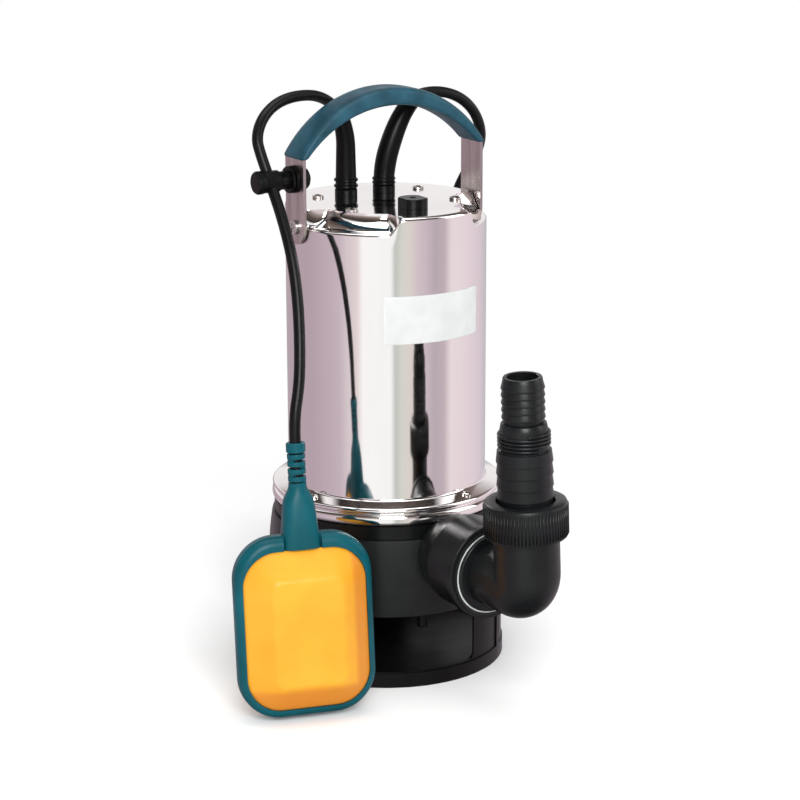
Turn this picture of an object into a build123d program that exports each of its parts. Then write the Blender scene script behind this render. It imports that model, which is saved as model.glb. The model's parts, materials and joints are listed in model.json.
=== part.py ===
from build123d import *
import os
from math import atan, cos, degrees, pi, radians, sin, tan

# Submersible sump pump, millimetres. The pump stands on z = 0 with its shaft on the Z axis.
# +X points to the discharge, the carrying handle spans Y, and the float hangs on the -Y side.

running_gap = 0.05      # shaft in its bearings, clip spigot in its strip
fit_gap = 0.3           # parts that are placed against each other without a fit
seat_gap = 0.2          # faces that nearly touch
press_gap = 0.05        # parts pushed together for good

# Strainer base
foot_r = 78.0
foot_height = 9.5
strainer_wall_r = 77.0
strainer_wall = 3.0
sill_height = 10.5
window_top = 48.0
pan_height = 4.5
pan_thickness = 2.5
leg_count = 3
leg_span = 48.0         # degrees of the wall that each leg keeps
first_leg = 40.0
leg_boss_r = 5.5
leg_boss_pitch_r = 67.0
pad_r = 14.0
pan_rib_count = 12
pan_rib_thickness = 2.0
pan_rib_clearance = 1.0
window_corner = 4.0
base_screw_r = 2.0
base_screw_head_r = 3.6
base_screw_head = 2.4

# Suction cover, its wear ring and the guard posts
suction_bore_r = 20.0
suction_snout_r = 24.0
suction_snout_drop = 5.0
suction_cover_r = 61.0
suction_cover_thickness = 4.0
post_count = 3
post_r = 3.5
post_length = 12.0
post_pitch_r = 55.0
first_post = -7.0

# Volute housing
volute_bottom = 48.3
volute_foot_r = 76.8
volute_belly_r = 79.0
volute_belly_height = 87.0
volute_step = 100.0
volute_step_r = 76.6
screw_pocket = 8.0
chamber_top = 96.0
chamber_r = 48.0
chamber_growth = 12.0   # how much the spiral opens over one turn
tongue_count = 8

# Discharge port
port_height = 90.0
port_bore_r = 17.0
neck_start = 44.0       # inside the pump chamber, which trims it
neck_root_x = 74.0
neck_root_r = 21.5
neck_middle_x = 85.0
neck_middle_r = 26.5
neck_shoulder_x = 97.0
neck_r = 29.5
port_flange_r = 31.0
port_flange_end = 126.0
port_socket_r = 26.0
port_socket_depth = 5.0
band_gap = 0.5

# Seal housing, the dark band between volute and motor
band_r = 75.2
band_top = 109.0
spigot_r = 66.5
seal_pocket_r = 16.0
seal_width = 3.0        # ring in a groove round the spigot
seal_height = 2.0
seal_above = 1.0

# Impeller
impeller_r = 45.0
impeller_top = 92.0
impeller_disc = 4.0
impeller_hub_r = 13.0
impeller_bottom = 66.0
blade_count = 6
blade_height = 17.0
blade_thickness = 3.0
blade_inner_r = 15.0
blade_sweep = 26.6      # degrees between hub and tip
impeller_nut_flats = 13.0
impeller_nut_height = 8.0

# Shaft line
shaft_r = 7.5
shaft_nose_r = 5.0
seal_face_r = 12.0
lower_bearing_height = band_top + 15.0
bearing_r = 17.5
bearing_width = 11.0
rotor_r = 31.0
stator_bottom = lower_bearing_height + bearing_width + 25.0
stator_height = 50.0
air_gap = 0.5
winding_inner_r = 35.0
winding_outer_r = 52.0
winding_overhang = 14.0
bracket_web = 6.0
bracket_rim = 4.0
upper_bearing_height = stator_bottom + stator_height + winding_overhang + 26.0
shaft_top = upper_bearing_height + bearing_width + 2.5

# Motor can
can_r = 65.5
can_top = 308.0
can_wall = 1.0
can_top_edge = 2.5
skirt_r = 75.5
skirt_top = 120.3       # where the skirt's wall would meet the shoulder's slope
skirt_corner = 3.0
shoulder_top = 127.0
shoulder_corner = 4.0
bead_drop = 6.3         # a groove rolled round the skirt, this far below its top
bead_depth = 0.8
bead_half_width = 1.2
pocket_inner_r = 49.0
pocket_depth = 10.0
pocket_corner = 8.0
pocket_from = 23.0      # degrees from +X, to both sides
pocket_to = 86.0
flange_screw_count = 4
flange_screw_r = 3.0
flange_screw_first = 16.0

# Lid fittings
lid_screw_pitch_r = 45.0
lid_screw_head_r = 3.8
lid_screw_head = 2.2
lid_screw_shank_r = 2.0
lid_screw_angles = (-60.0, 60.0, 120.0, 180.0, -132.0)
filler_x = 33.0
filler_flats = 18.0
filler_height = 6.5
gland_x = -26.0
gland_y = 14.5
gland_r = 7.4
gland_height = 5.0
gland_thread_r = 6.2
boot_r = 6.2
boot_mouth_r = 6.9
boot_mouth = 4.0
capacitor_r = 13.0
capacitor_length = 58.0
capacitor_x = 16.0
capacitor_z = can_top - can_wall - capacitor_r - 3.5

# Handle
strip_width = 23.0
strip_thickness = 2.0
strip_foot = 286.0
strip_bend_height = 343.5
strip_arch_rise = 32.5
handle_screw_height = 297.0
handle_screw_r = 2.5
handle_screw_head_r = 4.2
handle_screw_head = 3.2
grip_width = 26.0
grip_end_height = strip_bend_height - 2.0
grip_end_outer_y = 70.0
grip_end_inner_y = 64.4
grip_above_strip = 6.2
grip_below_strip = 6.0
grip_edge = 2.2

# Cable clip on the -Y strip
clip_y = -85.5
clip_z = 328.0
clip_spigot_r = 4.0
clip_flange_r = 8.8
clip_flange = 2.2
clip_neck_r = 6.3
clip_eye_r = 8.2
clip_eye_half = 6.5
clip_cap_r = 7.5
clip_cap = 4.0
clip_nut_r = 8.4
clip_nut_length = 10.0

# Discharge elbow, union nut and hose adapter (heights above the port axis)
elbow_lean = 2.4        # the elbow is turned about the port axis by this many degrees
elbow_r = 20.6
elbow_bore_r = 16.5
elbow_bend_r = 12.0
elbow_arm_x = 166.0
elbow_collar_r = 25.5
elbow_collar = 5.0
elbow_thread_r = 23.6
elbow_thread_from = 38.0
elbow_top = 51.0
nut_bottom = 36.0
nut_height = 23.0
nut_root_r = 26.1
nut_rib_depth = 1.0
nut_rib_count = 60
nut_lip = 4.0
nut_gap = 0.08          # the nut turns on the elbow's thread
barb32_crest_r = 17.6
barb32_root_r = 16.8
barb32_from = 60.5
barb32_to = 91.0
g1_thread_r = 16.6
g1_from = 92.5
g1_to = 103.5
shoulder_end = 108.0
barb25_crest_r = 13.5
barb25_root_r = 12.5
barb25_from = 111.0
barb25_to = 134.0
barb_count = 5
adapter_top = 137.0
adapter_mouth_r = 12.1
adapter_bore_r = 9.6
adapter_wide_bore_r = 13.8

# Float
float_centre = Vector(74.5, -107.0, 60.4)
float_turn = -16.5      # heading of the float's face about Z
float_lean_x = 6.0      # its top leans towards the pump
float_lean_y = 1.1
rim_width = 88.5
rim_height = 116.5
rim_thickness = 17.0
rim_corner = 27.0
rim_edge = 6.5
rim_side = 4.75         # width of the rim's frame beside, above and below the panel
rim_head = 9.0
rim_foot = 5.4
panel_rise = 12.5
panel_slope = 54.0      # degrees between the panel's border and the float's normal
panel_edge = 6.0
panel_wall = 2.2
stem_base_width = 24.0
stem_base_depth = 20.0
stem_core = 10.0        # the part of the rim's thickness that runs on through the stem's foot
stem_waist = 74.0
stem_neck_r = 5.6
stem_rib_r = 6.0
stem_shoulder = 88.0
stem_top = 116.0
stem_collar = 6.0
stem_rib_count = 4
switch_size = (20.0, 28.0, 10.0)
switch_height = 27.0    # above the float's middle
ball_r = 7.0
cage_r = 9.0
cage_length = 44.0
cage_bottom = -30.0
cage_slot = 6.0
cage_web = 18.4         # how far from the middle its web reaches into the rear shell

# Cables: points of each route, chosen to follow how the cables lie
cable_r = 3.6
float_boot_share = 0.5  # how far along its last run each boot ends
power_boot_share = 0.6
float_loop_route = [
    (gland_x, -gland_y, can_top + gland_height), (gland_x, -gland_y, 349), (-25, -21, 366.5),
    (-24.5, -35, 375.8), (-24.2, -52, 377), (-22.2, -67.5, 373.8), (-17.5, -80.5, 366),
    (-12.8, -87.8, 354.5), (-7.8, -87.4, 343.8), (-3.5, -85.9, 336.2),
]
mains_route = [
    (gland_x, gland_y, can_top + gland_height), (gland_x, gland_y, 325), (-24.8, 22, 348),
    (-24.2, 31, 363.5), (-24, 43, 373.5), (-23.6, 57.5, 376.5), (-23.2, 71.5, 372.5),
    (-24, 83.5, 363), (-26, 91.5, 349.5),
    (-28.5, 93, 334.5), (-31.5, 88.5, 320.5), (-35.5, 82, 307.5), (-39.5, 78, 292), (-42, 76.5, 262),
    (-43.5, 76.8, 200), (-45.3, 77.3, 127), (-46, 77, 88), (-51.7, 72, 69.7), (-62.3, 62.7, 55.6),
    (-76, 50.6, 48), (-90, 36.5, 45.5), (-104, 25, 38.5),
]
plug_route = [
    (-173.5, 15, 36), (-190, 23.5, 44.5), (-202, 37.5, 53), (-207.3, 55.1, 58.4), (-208.8, 72, 59.3),
]

# Coil of the stored cable and its plug
coil_x = -145.0
coil_y = 89.0
coil_r = 65.0           # middle of the turns
coil_width = 36.0
coil_height = 40.0
coil_edge = 8.0
plug_boot = 22.0
plug_grip = 22.0
plug_body_r = 19.0
plug_head = 18.0
plug_pin_r = 2.4
plug_pin_length = 19.0
plug_pin_pitch = 19.0

port_axis = Axis((0, 0, port_height), (1, 0, 0))
arm_direction = Vector(0, -sin(radians(elbow_lean)), cos(radians(elbow_lean)))
elbow_side = Plane(origin=(0, 0, port_height), x_dir=(1, 0, 0),
                   z_dir=Vector(1, 0, 0).cross(arm_direction))
arm_axis = Axis((elbow_arm_x, 0, port_height), arm_direction)
arm_plane = Plane(origin=(elbow_arm_x, 0, port_height), x_dir=(1, 0, 0), z_dir=arm_direction)

float_up = Vector(-tan(radians(float_lean_x)), tan(radians(float_lean_y)), 1).normalized()
float_face = Vector(cos(radians(float_turn)), sin(radians(float_turn)), 0)
float_plane = Plane(origin=float_centre, x_dir=float_up.cross(float_face),
                    z_dir=float_face - float_up * float_face.dot(float_up))
stem_plane = Plane(origin=float_centre, x_dir=float_plane.x_dir, z_dir=float_up)
stem_tip = float_centre + float_up * stem_top
float_cable_route = [
    (0, clip_y, clip_z), (9.8, clip_y - 0.1, 315.6), (20.7, clip_y - 0.5, 299.6), (32, -87.4, 281.4),
    (42, -90, 258.8), (50, -93.6, 234.6), (56.4, -97.9, 210.4), tuple(stem_tip + float_up * 14.5),
    tuple(stem_tip),
]


def outline(points, plane=Plane.XZ):
    # a closed flat face through the given points of a plane
    with BuildSketch(plane) as drawn:
        with BuildLine():
            Polyline(*points, close=True)
        make_face()
    return drawn.sketch


def save(builder, label):
    builder.part.label = label
    export_step(builder.part, f"parts/{label}.step")


def make_strainer_base():
    wall_in = strainer_wall_r - strainer_wall
    pan_top = pan_height + pan_thickness
    leg_angles = [first_leg + i * 360 / leg_count for i in range(leg_count)]
    window_angles = [angle + 180 / leg_count for angle in leg_angles]
    window_width = 2 * strainer_wall_r * sin(radians((360 / leg_count - leg_span) / 2))
    with BuildPart() as strainer_base:
        revolve(outline([
            (0, pan_height), (wall_in, pan_height), (wall_in, 0), (foot_r, 0), (foot_r, foot_height),
            (strainer_wall_r, foot_height + 0.6), (strainer_wall_r, window_top),
            (wall_in, window_top), (wall_in, pan_top), (0, pan_top),
        ]))
        # suction windows, open at the top, where the volute closes them
        for angle in window_angles:
            out_x, out_y = cos(radians(angle)), sin(radians(angle))
            with BuildSketch(Plane(origin=(0, 0, window_top), x_dir=(-out_y, out_x, 0), z_dir=(out_x, out_y, 0))):
                with Locations((0, 0)):
                    RectangleRounded(window_width, 2 * (window_top - sill_height), window_corner)
            extrude(amount=foot_r + 1, mode=Mode.SUBTRACT)
        # screw bosses behind the legs, ribs under the pan
        with BuildSketch(Plane.XY.offset(pan_height)):
            for angle in leg_angles:
                with PolarLocations(leg_boss_pitch_r, 1, start_angle=angle):
                    Circle(leg_boss_r)
                    with Locations((leg_boss_r, 0)):
                        Rectangle(2 * leg_boss_r, leg_boss_r)
        extrude(amount=window_top - pan_height)
        with BuildSketch(Plane.XY.offset(pan_rib_clearance)):
            with PolarLocations(wall_in / 2 + 6, pan_rib_count, start_angle=first_leg + 15):
                Rectangle(wall_in - 11, pan_rib_thickness)
        extrude(amount=pan_height - pan_rib_clearance)
        # central pad, level with the foot ring
        with BuildSketch(Plane.XY):
            Circle(pad_r)
        extrude(amount=pan_height)
        # screw holes through the bosses, with a recess for each head
        with BuildSketch(Plane.XY):
            for angle in leg_angles:
                with PolarLocations(leg_boss_pitch_r, 1, start_angle=angle):
                    Circle(base_screw_r + fit_gap)
        extrude(amount=window_top + 1, mode=Mode.SUBTRACT)
        with BuildSketch(Plane.XY):
            for angle in leg_angles:
                with PolarLocations(leg_boss_pitch_r, 1, start_angle=angle):
                    Circle(base_screw_head_r + fit_gap)
        extrude(amount=pan_height + base_screw_head, mode=Mode.SUBTRACT)
    return strainer_base


def make_base_screws():
    with BuildPart() as base_screws:
        for i in range(leg_count):
            with BuildSketch(Plane.XY.offset(pan_height)):
                with PolarLocations(leg_boss_pitch_r, 1, start_angle=first_leg + i * 360 / leg_count):
                    Circle(base_screw_head_r)
            extrude(amount=base_screw_head)
            with BuildSketch(Plane.XY.offset(pan_height + base_screw_head)):
                with PolarLocations(leg_boss_pitch_r, 1, start_angle=first_leg + i * 360 / leg_count):
                    Circle(base_screw_r)
            extrude(amount=volute_bottom + screw_pocket - 1 - pan_height - base_screw_head)
    return base_screws


def make_suction_cover():
    with BuildPart() as suction_cover:
        with BuildSketch(Plane.XY.offset(volute_bottom - suction_cover_thickness)):
            Circle(suction_cover_r)
            Circle(suction_snout_r + press_gap, mode=Mode.SUBTRACT)
        extrude(amount=suction_cover_thickness - seat_gap)
    return suction_cover


def make_wear_ring():
    # ring round the suction eye, pressed into the cover
    with BuildPart() as wear_ring:
        with BuildSketch(Plane.XY.offset(volute_bottom - suction_cover_thickness - suction_snout_drop)):
            Circle(suction_snout_r)
            Circle(suction_bore_r, mode=Mode.SUBTRACT)
        extrude(amount=suction_snout_drop + suction_cover_thickness - seat_gap)
    return wear_ring


def make_guard_posts():
    # short posts under the suction cover, which keep large grit out
    cover_bottom = volute_bottom - suction_cover_thickness
    with BuildPart() as guard_posts:
        with BuildSketch(Plane.XY.offset(cover_bottom - seat_gap / 2)):
            with PolarLocations(post_pitch_r, post_count, start_angle=first_post):
                Circle(post_r)
        extrude(amount=-post_length)
        fillet(guard_posts.faces().group_by(Axis.Z)[0].edges(), 1)
    return guard_posts


def spiral_section(height):
    # the volute's spiral, drawn as a closed curve whose radius grows with the angle
    turns = [i * 2 * pi / tongue_count for i in range(tongue_count)]
    points = []
    for turn in turns:
        radius = chamber_r + chamber_growth * turn / (2 * pi)
        points.append((radius * cos(turn), radius * sin(turn)))
    with BuildSketch(Plane.XY.offset(height)) as drawn:
        with BuildLine():
            spiral = Spline(*points, tangents=[(0, 1), (-sin(turns[-1]), cos(turns[-1]))])
            Line(spiral @ 1, spiral @ 0)
        make_face()
    return drawn.sketch


def make_volute_housing():
    body_top = volute_step
    with BuildPart() as volute_housing:
        with BuildSketch(Plane.XZ):
            with BuildLine():
                Line((0, body_top), (0, volute_bottom))
                Line((0, volute_bottom), (volute_foot_r, volute_bottom))
                ThreePointArc((volute_foot_r, volute_bottom), (volute_belly_r, volute_belly_height - 9),
                              (volute_step_r, body_top))
                Line((volute_step_r, body_top), (0, body_top))
            make_face()
        revolve(axis=Axis.Z)
        # pump chamber, open at both ends
        extrude(spiral_section(volute_bottom), amount=chamber_top - volute_bottom, mode=Mode.SUBTRACT)
        with BuildSketch(Plane.XY.offset(chamber_top)):
            Circle(spigot_r + fit_gap)
        extrude(amount=body_top - chamber_top, mode=Mode.SUBTRACT)
        # seat of the discharge neck
        add(neck_form(press_gap), mode=Mode.SUBTRACT)
        # threaded pockets for the base screws
        with BuildSketch(Plane.XY.offset(volute_bottom)):
            for i in range(leg_count):
                with PolarLocations(leg_boss_pitch_r, 1, start_angle=first_leg + i * 360 / leg_count):
                    Circle(base_screw_r + seat_gap)
        extrude(amount=screw_pocket, mode=Mode.SUBTRACT)
    return volute_housing


def neck_form(margin):
    # outside of the discharge neck, which widens from its root to the socket, grown by a margin
    socket_face = port_flange_end - port_socket_depth
    full = port_height + neck_r + margin
    root = port_height + neck_root_r + margin
    with BuildPart() as form:
        with BuildSketch(Plane.XZ):
            with BuildLine():
                Polyline((neck_root_x, root), (neck_start, root), (neck_start, port_height),
                         (socket_face, port_height), (socket_face, full), (neck_shoulder_x, full))
                ThreePointArc((neck_shoulder_x, full),
                              (neck_middle_x, port_height + neck_middle_r + margin), (neck_root_x, root))
            make_face()
        revolve(axis=port_axis)
    return form.part


def make_discharge_neck():
    with BuildPart() as discharge_neck:
        add(neck_form(0))
        with BuildSketch(Plane.YZ.offset(neck_start)):
            with Locations((0, port_height)):
                Circle(port_bore_r)
        extrude(amount=port_flange_end, mode=Mode.SUBTRACT)
        # clear of the pump chamber, and of the seal housing's spigot and band
        extrude(spiral_section(volute_bottom), amount=volute_step - volute_bottom, mode=Mode.SUBTRACT)
        with BuildSketch(Plane.XY.offset(chamber_top)):
            Circle(spigot_r + fit_gap)
        extrude(amount=neck_r, mode=Mode.SUBTRACT)
        with BuildSketch(Plane.XY.offset(volute_step)):
            Circle(skirt_r + band_gap)
        extrude(amount=neck_r, mode=Mode.SUBTRACT)
    return discharge_neck


def make_port_ring():
    # rim of the socket that takes the elbow's collar
    with BuildPart() as port_ring:
        with BuildSketch(Plane.YZ.offset(port_flange_end - port_socket_depth)):
            with Locations((0, port_height)):
                Circle(port_flange_r)
                Circle(port_socket_r, mode=Mode.SUBTRACT)
        extrude(amount=port_socket_depth)
        fillet(port_ring.edges().filter_by(GeomType.CIRCLE).group_by(Axis.X)[-1], 0.8)
    return port_ring


def make_seal_housing():
    groove = chamber_top + seal_above
    with BuildPart() as seal_housing:
        revolve(outline([
            (seal_pocket_r, chamber_top), (spigot_r, chamber_top), (spigot_r, groove),
            (spigot_r - seal_width, groove), (spigot_r - seal_width, groove + seal_height),
            (spigot_r, groove + seal_height), (spigot_r, volute_step + seat_gap),
            (band_r, volute_step + seat_gap), (band_r, band_top), (seal_pocket_r, band_top),
        ]))
    return seal_housing


def make_housing_seal():
    with BuildPart() as housing_seal:
        with BuildSketch(Plane.XZ):
            with Locations((spigot_r - seal_width / 2 + press_gap,
                            chamber_top + seal_above + seal_height / 2)):
                RectangleRounded(seal_width - press_gap, seal_height - 2 * press_gap, 0.6)
        revolve(axis=Axis.Z)
    return housing_seal


def make_impeller():
    # vortex impeller: a disc with a hub and backward-curved blades hanging below it
    blade_bottom = impeller_top - impeller_disc - blade_height
    tip_r = impeller_r - blade_thickness / 2
    with BuildPart() as impeller:
        revolve(outline([
            (shaft_nose_r, impeller_bottom + 2), (impeller_hub_r - 3, impeller_bottom + 2),
            (impeller_hub_r, impeller_top - impeller_disc - 3),
            (impeller_hub_r + 4, impeller_top - impeller_disc),
            (impeller_r, impeller_top - impeller_disc), (impeller_r, impeller_top),
            (shaft_nose_r, impeller_top),
        ]))
        with BuildSketch(Plane.XY.offset(blade_bottom)):
            with PolarLocations(0, blade_count):
                with BuildLine():
                    blade = ThreePointArc(
                        (impeller_hub_r - 2, 0), (blade_inner_r + 14, -7),
                        (tip_r * cos(radians(blade_sweep)), -tip_r * sin(radians(blade_sweep))))
                    offset(blade, amount=blade_thickness / 2)
                make_face()
        extrude(amount=blade_height + 1)
    return impeller


def make_impeller_nut():
    top = impeller_bottom + 2 - seat_gap
    with BuildPart() as impeller_nut:
        with BuildSketch(Plane.XY.offset(top - impeller_nut_height)):
            RegularPolygon(impeller_nut_flats / 2, 6, major_radius=False)
        extrude(amount=impeller_nut_height)
        chamfer(impeller_nut.faces().sort_by(Axis.Z)[0].edges(), 1)
        with BuildSketch(Plane.XY.offset(top)):
            Circle(shaft_nose_r - 1)
        extrude(amount=-4, mode=Mode.SUBTRACT)
    return impeller_nut


def make_shaft():
    nose = impeller_bottom - 2
    with BuildPart() as shaft:
        revolve(outline([
            (0, nose), (shaft_nose_r - 1, nose), (shaft_nose_r - 1, impeller_bottom + 2),
            (shaft_nose_r - seat_gap, impeller_bottom + 2),
            (shaft_nose_r - seat_gap, impeller_top + seat_gap), (shaft_r, impeller_top + seat_gap),
            (shaft_r, shaft_top), (0, shaft_top),
        ]))
    return shaft


def make_seal_seat():
    with BuildPart() as seal_seat:
        revolve(outline([
            (shaft_r + 1, chamber_top + 6), (seal_pocket_r - seat_gap, chamber_top + 6),
            (seal_pocket_r - seat_gap, band_top), (shaft_r + 1, band_top),
        ]))
    return seal_seat


def make_seal_ring():
    with BuildPart() as seal_ring:
        revolve(outline([
            (shaft_r, impeller_top + seat_gap), (seal_face_r - 1, impeller_top + seat_gap),
            (seal_face_r, chamber_top), (seal_face_r, chamber_top + 6 - seat_gap),
            (shaft_r, chamber_top + 6 - seat_gap),
        ]))
    return seal_ring


def make_bearing_bracket():
    seat_r = bearing_r + seat_gap
    top = lower_bearing_height + bearing_width
    rim_r = can_r - can_wall - seat_gap
    flange_r = skirt_r - can_wall - bead_depth - seat_gap
    rim_top = shoulder_top + 15
    with BuildPart() as bearing_bracket:
        revolve(outline([
            (shaft_r + 2, band_top + seat_gap), (flange_r, band_top + seat_gap),
            (flange_r, skirt_top - 4), (rim_r, skirt_top), (rim_r, rim_top),
            (rim_r - bracket_rim, rim_top), (rim_r - bracket_rim, skirt_top + bracket_web),
            (seat_r + 4, skirt_top + bracket_web), (seat_r + 4, top), (seat_r, top),
            (seat_r, lower_bearing_height - seat_gap), (shaft_r + 2, lower_bearing_height - seat_gap),
        ]))
    return bearing_bracket


def make_bearing(height):
    with BuildPart() as bearing:
        with BuildSketch(Plane.XZ):
            with Locations(((shaft_r + running_gap + bearing_r) / 2, height + bearing_width / 2)):
                Rectangle(bearing_r - shaft_r - running_gap, bearing_width)
        revolve(axis=Axis.Z)
        # grooves between the rings on both faces
        for face_height, depth in ((height, 1), (height + bearing_width, -1)):
            with BuildSketch(Plane.XY.offset(face_height)):
                Circle(bearing_r - 2.6)
                Circle(shaft_r + 2.4, mode=Mode.SUBTRACT)
            extrude(amount=depth, mode=Mode.SUBTRACT)
    return bearing


def make_rotor_core():
    with BuildPart() as rotor_core:
        with BuildSketch(Plane.XY.offset(stator_bottom)):
            Circle(rotor_r)
            Circle(shaft_r, mode=Mode.SUBTRACT)
        extrude(amount=stator_height)
        for end, direction in ((stator_bottom, -6), (stator_bottom + stator_height, 6)):
            with BuildSketch(Plane.XY.offset(end)):
                Circle(rotor_r - 2)
                Circle(rotor_r - 9, mode=Mode.SUBTRACT)
            extrude(amount=direction)
    return rotor_core


def make_stator_core():
    with BuildPart() as stator_core:
        with BuildSketch(Plane.XY.offset(stator_bottom)):
            Circle(can_r - can_wall - seat_gap)
            Circle(rotor_r + air_gap, mode=Mode.SUBTRACT)
        extrude(amount=stator_height)
    return stator_core


def make_stator_windings():
    with BuildPart() as stator_windings:
        for bottom in (stator_bottom - winding_overhang, stator_bottom + stator_height):
            with BuildSketch(Plane.XZ):
                with Locations(((winding_inner_r + winding_outer_r) / 2, bottom + winding_overhang / 2)):
                    RectangleRounded(winding_outer_r - winding_inner_r, winding_overhang - 2 * seat_gap, 5)
            revolve(axis=Axis.Z)
    return stator_windings


def make_upper_bracket():
    seat_r = bearing_r + seat_gap
    rim_r = can_r - can_wall - seat_gap
    web_top = upper_bearing_height + bearing_width
    rim_bottom = upper_bearing_height - 22
    with BuildPart() as upper_bracket:
        revolve(outline([
            (seat_r, upper_bearing_height), (seat_r + 4, upper_bearing_height),
            (seat_r + 4, web_top - bracket_web), (rim_r - bracket_rim, web_top - bracket_web),
            (rim_r - bracket_rim, rim_bottom), (rim_r, rim_bottom), (rim_r, web_top), (seat_r, web_top),
        ]))
        # saddle that carries the capacitor
        with BuildSketch(Plane.XY.offset(web_top)):
            with Locations((capacitor_x + 11, 0)):
                Rectangle(16, capacitor_length - 16)
        extrude(amount=capacitor_z - capacitor_r + 6 - web_top)
        with BuildSketch(Plane.XZ.offset(-capacitor_length / 2)):
            with Locations((capacitor_x, capacitor_z)):
                Circle(capacitor_r + seat_gap)
        extrude(amount=capacitor_length, mode=Mode.SUBTRACT)
    return upper_bracket


def make_capacitor():
    with BuildPart() as capacitor:
        with BuildSketch(Plane.XZ.offset(-capacitor_length / 2)):
            with Locations((capacitor_x, capacitor_z)):
                Circle(capacitor_r)
        extrude(amount=capacitor_length)
        fillet(capacitor.edges().filter_by(GeomType.CIRCLE), 2)
    return capacitor


def pocket_cutter(start, inset):
    # room for one of the pockets pressed into the lid's edge: a rounded sector with a sloping floor
    margin = degrees(inset / pocket_inner_r)
    first = radians(start - margin)
    last = radians(start + pocket_to - pocket_from + margin)
    middle = (first + last) / 2
    inner_r = pocket_inner_r - inset
    outer_r = can_r + 5
    run = (can_r - pocket_inner_r) / pocket_depth
    floor = can_top - inset * (1 + 1 / run ** 2) ** 0.5
    above = can_top + 1
    with BuildSketch(Plane.XY.offset(can_top - 2 * pocket_depth)) as sector:
        with BuildLine():
            inner = [(inner_r * cos(turn), inner_r * sin(turn)) for turn in (first, middle, last)]
            outer = [(outer_r * cos(turn), outer_r * sin(turn)) for turn in (first, middle, last)]
            Line(inner[0], outer[0])
            ThreePointArc(*outer)
            Line(outer[2], inner[2])
            ThreePointArc(*reversed(inner))
        make_face()
        inner_corners = sector.vertices().sort_by(lambda corner: Vector(corner.X, corner.Y, 0).length)[:2]
        fillet(inner_corners, pocket_corner + inset)
    with BuildPart() as cutter:
        revolve(outline([
            (pocket_inner_r - (above - floor) * run, above),
            (outer_r + 1, floor - (outer_r + 1 - pocket_inner_r) / run), (outer_r + 1, above),
        ]))
        extrude(sector.sketch, amount=2 * pocket_depth + 1, mode=Mode.INTERSECT)
    return cutter.part


def can_form(inset):
    # the deep-drawn can as a solid, made smaller by an inset; two pockets are pressed into its top edge
    skirt = skirt_r - inset
    wall_r = can_r - inset
    top = can_top - inset
    turn = pi / 2 - atan((shoulder_top - skirt_top) / (skirt_r - can_r))
    drop = inset * tan(turn / 2)
    bead_height = skirt_top - bead_drop
    with BuildPart() as form:
        with BuildSketch(Plane.XZ):
            with BuildLine():
                Polyline((0, top), (0, band_top), (skirt, band_top), (skirt, bead_height - bead_half_width),
                         (skirt - bead_depth, bead_height), (skirt, bead_height + bead_half_width))
                FilletPolyline(
                    (skirt, bead_height + bead_half_width), (skirt, skirt_top - drop),
                    (wall_r, shoulder_top - drop), (wall_r, top), (0, top),
                    radius=[skirt_corner - inset, shoulder_corner + inset, can_top_edge - inset])
            make_face()
        revolve(axis=Axis.Z)
        add(pocket_cutter(pocket_from, inset), mode=Mode.SUBTRACT)
        add(pocket_cutter(-pocket_to, inset), mode=Mode.SUBTRACT)
    return form.part


def make_motor_can():
    with BuildPart() as motor_can:
        add(can_form(0))
        add(can_form(can_wall), mode=Mode.SUBTRACT)
        # holes for the glands, the filler plug and the handle screws
        with BuildSketch(Plane.XY.offset(can_top - 4)):
            with Locations((gland_x, gland_y), (gland_x, -gland_y)):
                Circle(gland_thread_r + seat_gap)
            with Locations((filler_x, 0)):
                Circle(filler_flats / 2 - 2.5 + seat_gap)
            for angle in lid_screw_angles:
                with PolarLocations(lid_screw_pitch_r, 1, start_angle=angle):
                    Circle(lid_screw_shank_r + seat_gap)
        extrude(amount=5, mode=Mode.SUBTRACT)
        with BuildSketch(Plane.XZ.offset(-can_r - 1)):
            with Locations((0, handle_screw_height)):
                Circle(handle_screw_r + seat_gap)
        extrude(amount=2 * can_r + 2, mode=Mode.SUBTRACT)
    return motor_can


def make_flange_screws():
    # pan heads on the can's lower shoulder, square to its slope
    slope = atan((shoulder_top - skirt_top) / (skirt_r - can_r))
    mid_r = (skirt_r + can_r) / 2
    mid_z = (shoulder_top + skirt_top) / 2
    with BuildPart() as flange_screws:
        for i in range(flange_screw_count):
            turn = radians(flange_screw_first + i * 360 / flange_screw_count)
            normal = Vector(sin(slope) * cos(turn), sin(slope) * sin(turn), cos(slope))
            seat = Vector(mid_r * cos(turn), mid_r * sin(turn), mid_z)
            with BuildSketch(Plane(origin=seat + normal * 0.1, z_dir=normal)):
                Circle(flange_screw_r)
            extrude(amount=1.8)
        fillet(flange_screws.edges().filter_by(GeomType.CIRCLE).group_by(Axis.Z)[-1], 0.6)
    return flange_screws


def make_lid_screws():
    with BuildPart() as lid_screws:
        for angle in lid_screw_angles:
            turn = radians(angle)
            seat = Plane(origin=(lid_screw_pitch_r * cos(turn), lid_screw_pitch_r * sin(turn), can_top))
            with BuildSketch(seat.offset(seat_gap / 2)):
                Circle(lid_screw_head_r)
            extrude(amount=lid_screw_head, taper=20)
            with BuildSketch(seat.offset(seat_gap / 2)):
                Circle(lid_screw_shank_r)
            extrude(amount=-9)
    return lid_screws


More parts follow.
